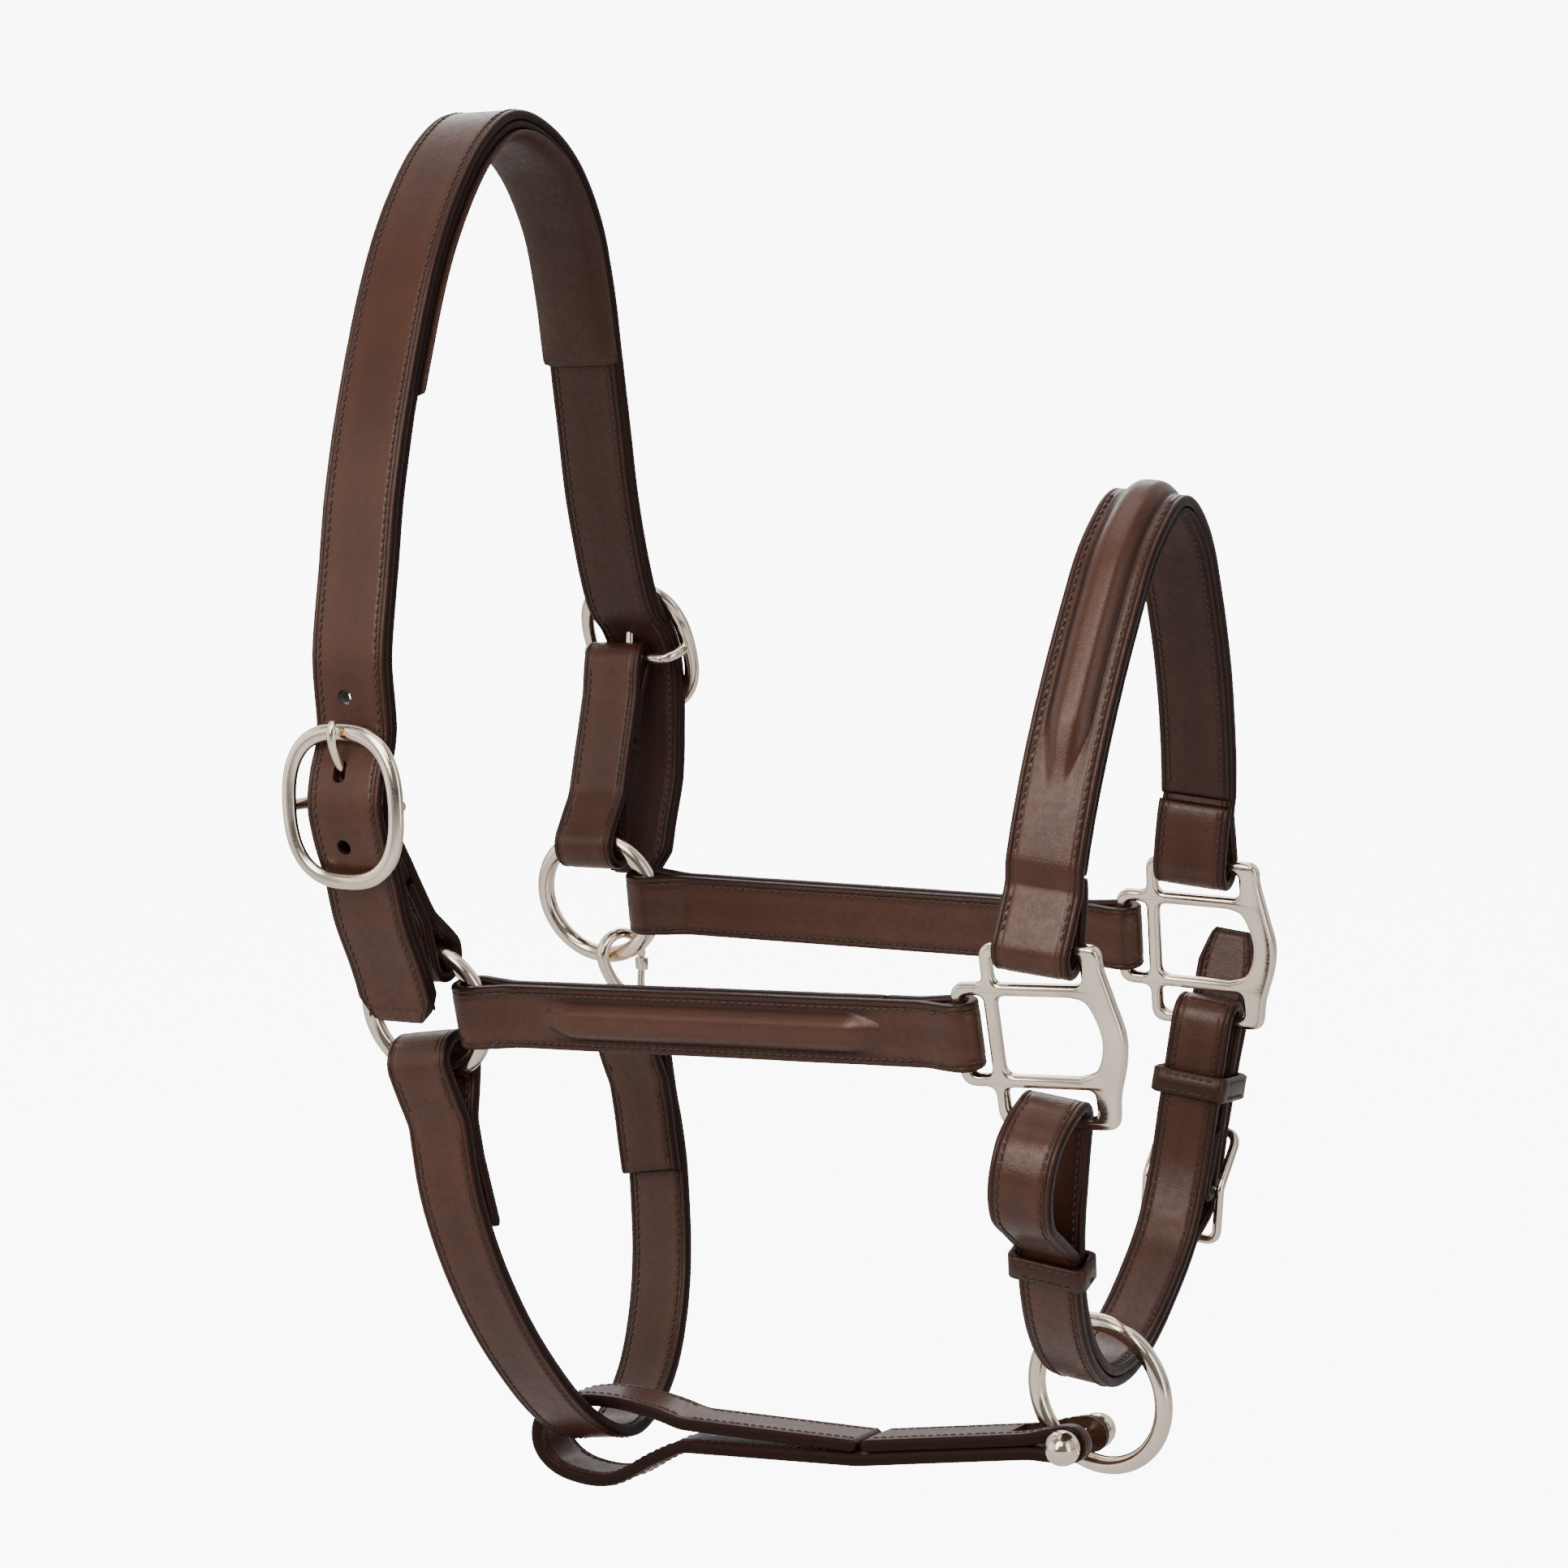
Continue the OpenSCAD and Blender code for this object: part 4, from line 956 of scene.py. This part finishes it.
def snap():
    m = AT_POLL @ move(*HOOK_AT) @ turn("Z", SNAP_TURN)
    arc = [[0, 8 * math.cos(a), 8 * math.sin(a)] for a in np.linspace(math.pi, 0, 22)]
    shank = [[0, *p] for p in smooth([[2.4, -20], [0.6, -15.5], [-4.2, -9.5], [-7.2, -3.3]], 7)]
    path = even(np.concatenate([shank[:-1], arc, [[0, 8, -1.6]]]), 0.8, 1.2)
    width = np.interp(np.linspace(0, 1, len(path)), [0, 0.3, 0.62, 0.85, 1], [2.2, 2.2, 2.05, 1.8, 1.5])
    parts = [tube(path, width, around=20, flat=1.4, up=(1, 0, 0))]
    barrel = [(1.8, -4.0), (2.5, -3.6), (2.5, -2.9), (3.9, -2.4), (4.4, -1.2), (4.4, 1.4), (3.8, 2.4), (2.6, 2.9),
              (0.8, 3.2)]
    parts.append(lathe(barrel, move(0, HOOK_BASE + 0.5, -19.0)))
    cheek = rounded([(1.4, -21.3), (8.8, -21.3), (9.4, -17.4), (1.4, -16.8)], 1.4, 4)
    for e in (-1, 1):
        v, f = block(cheek, 0.65)
        parts.append((v + [e * 2.95, 0, 0], f))
    solid("snap_body_metal", parts, m, "headstall", ["snap_body"])
    pivot = (7.2, -18.6)
    pin = tube([[x, *pivot] for x in np.linspace(-3.9, 3.9, 5)], 0.8, around=14, up=(0, 0, 1))
    solid("snap_pin_metal", [pin], m, "headstall", ["snap_gate_pin"])
    foot = lathe([(1.0, -2.0), (2.2, -1.8), (2.2, 1.8), (1.0, 2.0)], move(0, *pivot) @ turn("Y", 90), 24)
    wires = [tube(smooth([[e * 1.15, *pivot], [e * 1.15, 7.3, -12], [e * 0.95, 7.9, -6]], 6), 0.85, around=12,
                  up=(1, 0, 0)) for e in (-1, 1)]
    cap = block(rounded([(6.4, -7.0), (9.5, -7.0), (9.9, -2.3), (6.4, -2.3)], 0.7, 4), 2.4)
    solid("snap_gate_metal", [foot, *wires, cap], m, "snap_gate", ["snap_gate"])
    loop = rounded([(-15.6, 0), (15.6, 0), (15.6, 8.9), (-15.6, 8.9)], 2.6, 7)
    eye = tube([[x, 0, z] for x, z in loop], 2.0, closed=True, around=18)
    solid("snap_eye_metal", [eye], IN_THROAT @ move(1, *THROAT_TOP_L), "headstall", ["snap_eye"])


crown()
poll_pad()
chapes()
cheeks()
noseband()
chin()
keepers()
jaw_link()
throat()
for s, word in ((-1, "right"), (1, "left")):
    ring(word + "_ring_metal", CHEEK_RING_R, side(s), word + "_ring", [f"{word}_cheek_ring"])
ring("lead_ring_metal", CHIN_RING_R, AT_POLL @ move(*CHIN_RING_AT) @ turn("Z", -10), "lead_ring", ["chin_ring"])
crown_buckles()
halter_squares()
chin_buckle()
snap()
for ob in CUTTERS:
    bpy.data.objects.remove(ob)


# ---- Camera, light and backdrop ----
def look():
    azimuth, elevation, roll = (math.radians(v) for v in (27.45, 9.37, -2.73))
    level = math.cos(elevation)
    back = Vector((math.sin(azimuth) * level, -math.cos(azimuth) * level, math.sin(elevation)))
    right = Vector((math.cos(azimuth), math.sin(azimuth), 0))
    up = back.cross(right)
    c, s = math.cos(roll), math.sin(roll)
    right, up = c * right + s * up, c * up - s * right
    data = bpy.data.cameras.new("camera")
    data.sensor_width = 36
    data.lens = 80.12
    data.clip_start, data.clip_end = 0.05, 40
    cam = bpy.data.objects.new("camera", data)
    cam.matrix_world = Matrix((right, up, back)).transposed().to_4x4()
    cam.location = (0.633, -1.0209, -0.0245)
    bpy.context.scene.collection.objects.link(cam)
    bpy.context.scene.camera = cam


def lamp(name, at, size, power, tone=(1, 1, 1)):
    data = bpy.data.lights.new(name, "AREA")
    data.shape = "RECTANGLE"
    data.size, data.size_y = size
    data.energy = power
    data.color = tone
    ob = bpy.data.objects.new(name, data)
    ob.location = at
    ob.rotation_mode = "QUATERNION"
    ob.rotation_quaternion = (Vector((0.1, 0, -0.23)) - Vector(at)).to_track_quat("-Z", "Y")
    bpy.context.scene.collection.objects.link(ob)


WHITE = 9.0  # how bright the camera sees the backdrop
FLOOR_Z = -0.58  # just under the lowest point the headstall reaches when it folds


def backdrop():
    world = bpy.data.worlds.new("studio")
    bpy.context.scene.world = world
    world.use_nodes = True
    t = world.node_tree
    seen = node(t, "ShaderNodeLightPath").outputs["Is Camera Ray"]
    direction = node(t, "ShaderNodeTexCoord").outputs["Generated"]
    toward = node(t, "ShaderNodeVectorMath", {0: direction, 1: (0.52, -0.83, 0.05)},
                  operation="DOT_PRODUCT").outputs["Value"]
    tall = node(t, "ShaderNodeSeparateXYZ", {0: direction}).outputs[2]
    # bright walls behind the work, dark and pale bands in front of it, for polished metal to mirror
    wall = ramp(t, spread(t, toward, 0.0, 1.0, -1.0, 1.0),
                [(0.0, 1.1), (0.44, 1.0), (0.53, 0.30), (0.59, 0.08), (0.66, 0.72), (0.77, 0.62), (0.85, 0.10),
                 (1.0, 0.2)])
    high = ramp(t, spread(t, tall, 0.0, 1.0, -1.0, 1.0),
                [(0.0, 0.45), (0.36, 0.85), (0.47, 0.80), (0.515, 0.45), (0.56, 0.9), (1.0, 1.0)])
    room = mix(t, 1.0, wall, high, "MULTIPLY")
    t.links.new(mix(t, seen, room, (1.0, 1.0, 1.0)), t.nodes["Background"].inputs["Color"])
    t.links.new(spread(t, seen, 1.0, WHITE), t.nodes["Background"].inputs["Strength"])
    bpy.ops.mesh.primitive_plane_add(size=8, location=(0.1, 0.4, FLOOR_Z))
    floor = bpy.context.object
    floor.name = "floor"
    m, t, p = shader("white floor")
    p.inputs["Base Color"].default_value = (0.6, 0.6, 0.6, 1)
    p.inputs["Roughness"].default_value = 0.7
    p.inputs["Emission Color"].default_value = (1, 1, 1, 1)
    seen = node(t, "ShaderNodeLightPath").outputs["Is Camera Ray"]
    t.links.new(spread(t, seen, 0.0, WHITE), p.inputs["Emission Strength"])
    floor.data.materials.append(m)


look()
lamp("key", (0.25, -1.15, 0.85), (0.9, 0.8), 12, (1.0, 0.96, 0.92))
lamp("strip", (-0.12, -1.15, 0.28), (0.45, 0.7), 6, (1.0, 0.97, 0.94))
lamp("fill", (-1.5, -1.0, 0.1), (1.6, 1.6), 8, (1.0, 0.96, 0.92))
lamp("side", (1.5, -0.6, 0.1), (0.6, 1.4), 6)
lamp("edge_and_shade", (-0.6, 1.3, 0.7), (1.2, 0.8), 8)
lamp("top", (0.2, 0.0, 1.3), (1.0, 1.0), 5)
backdrop()
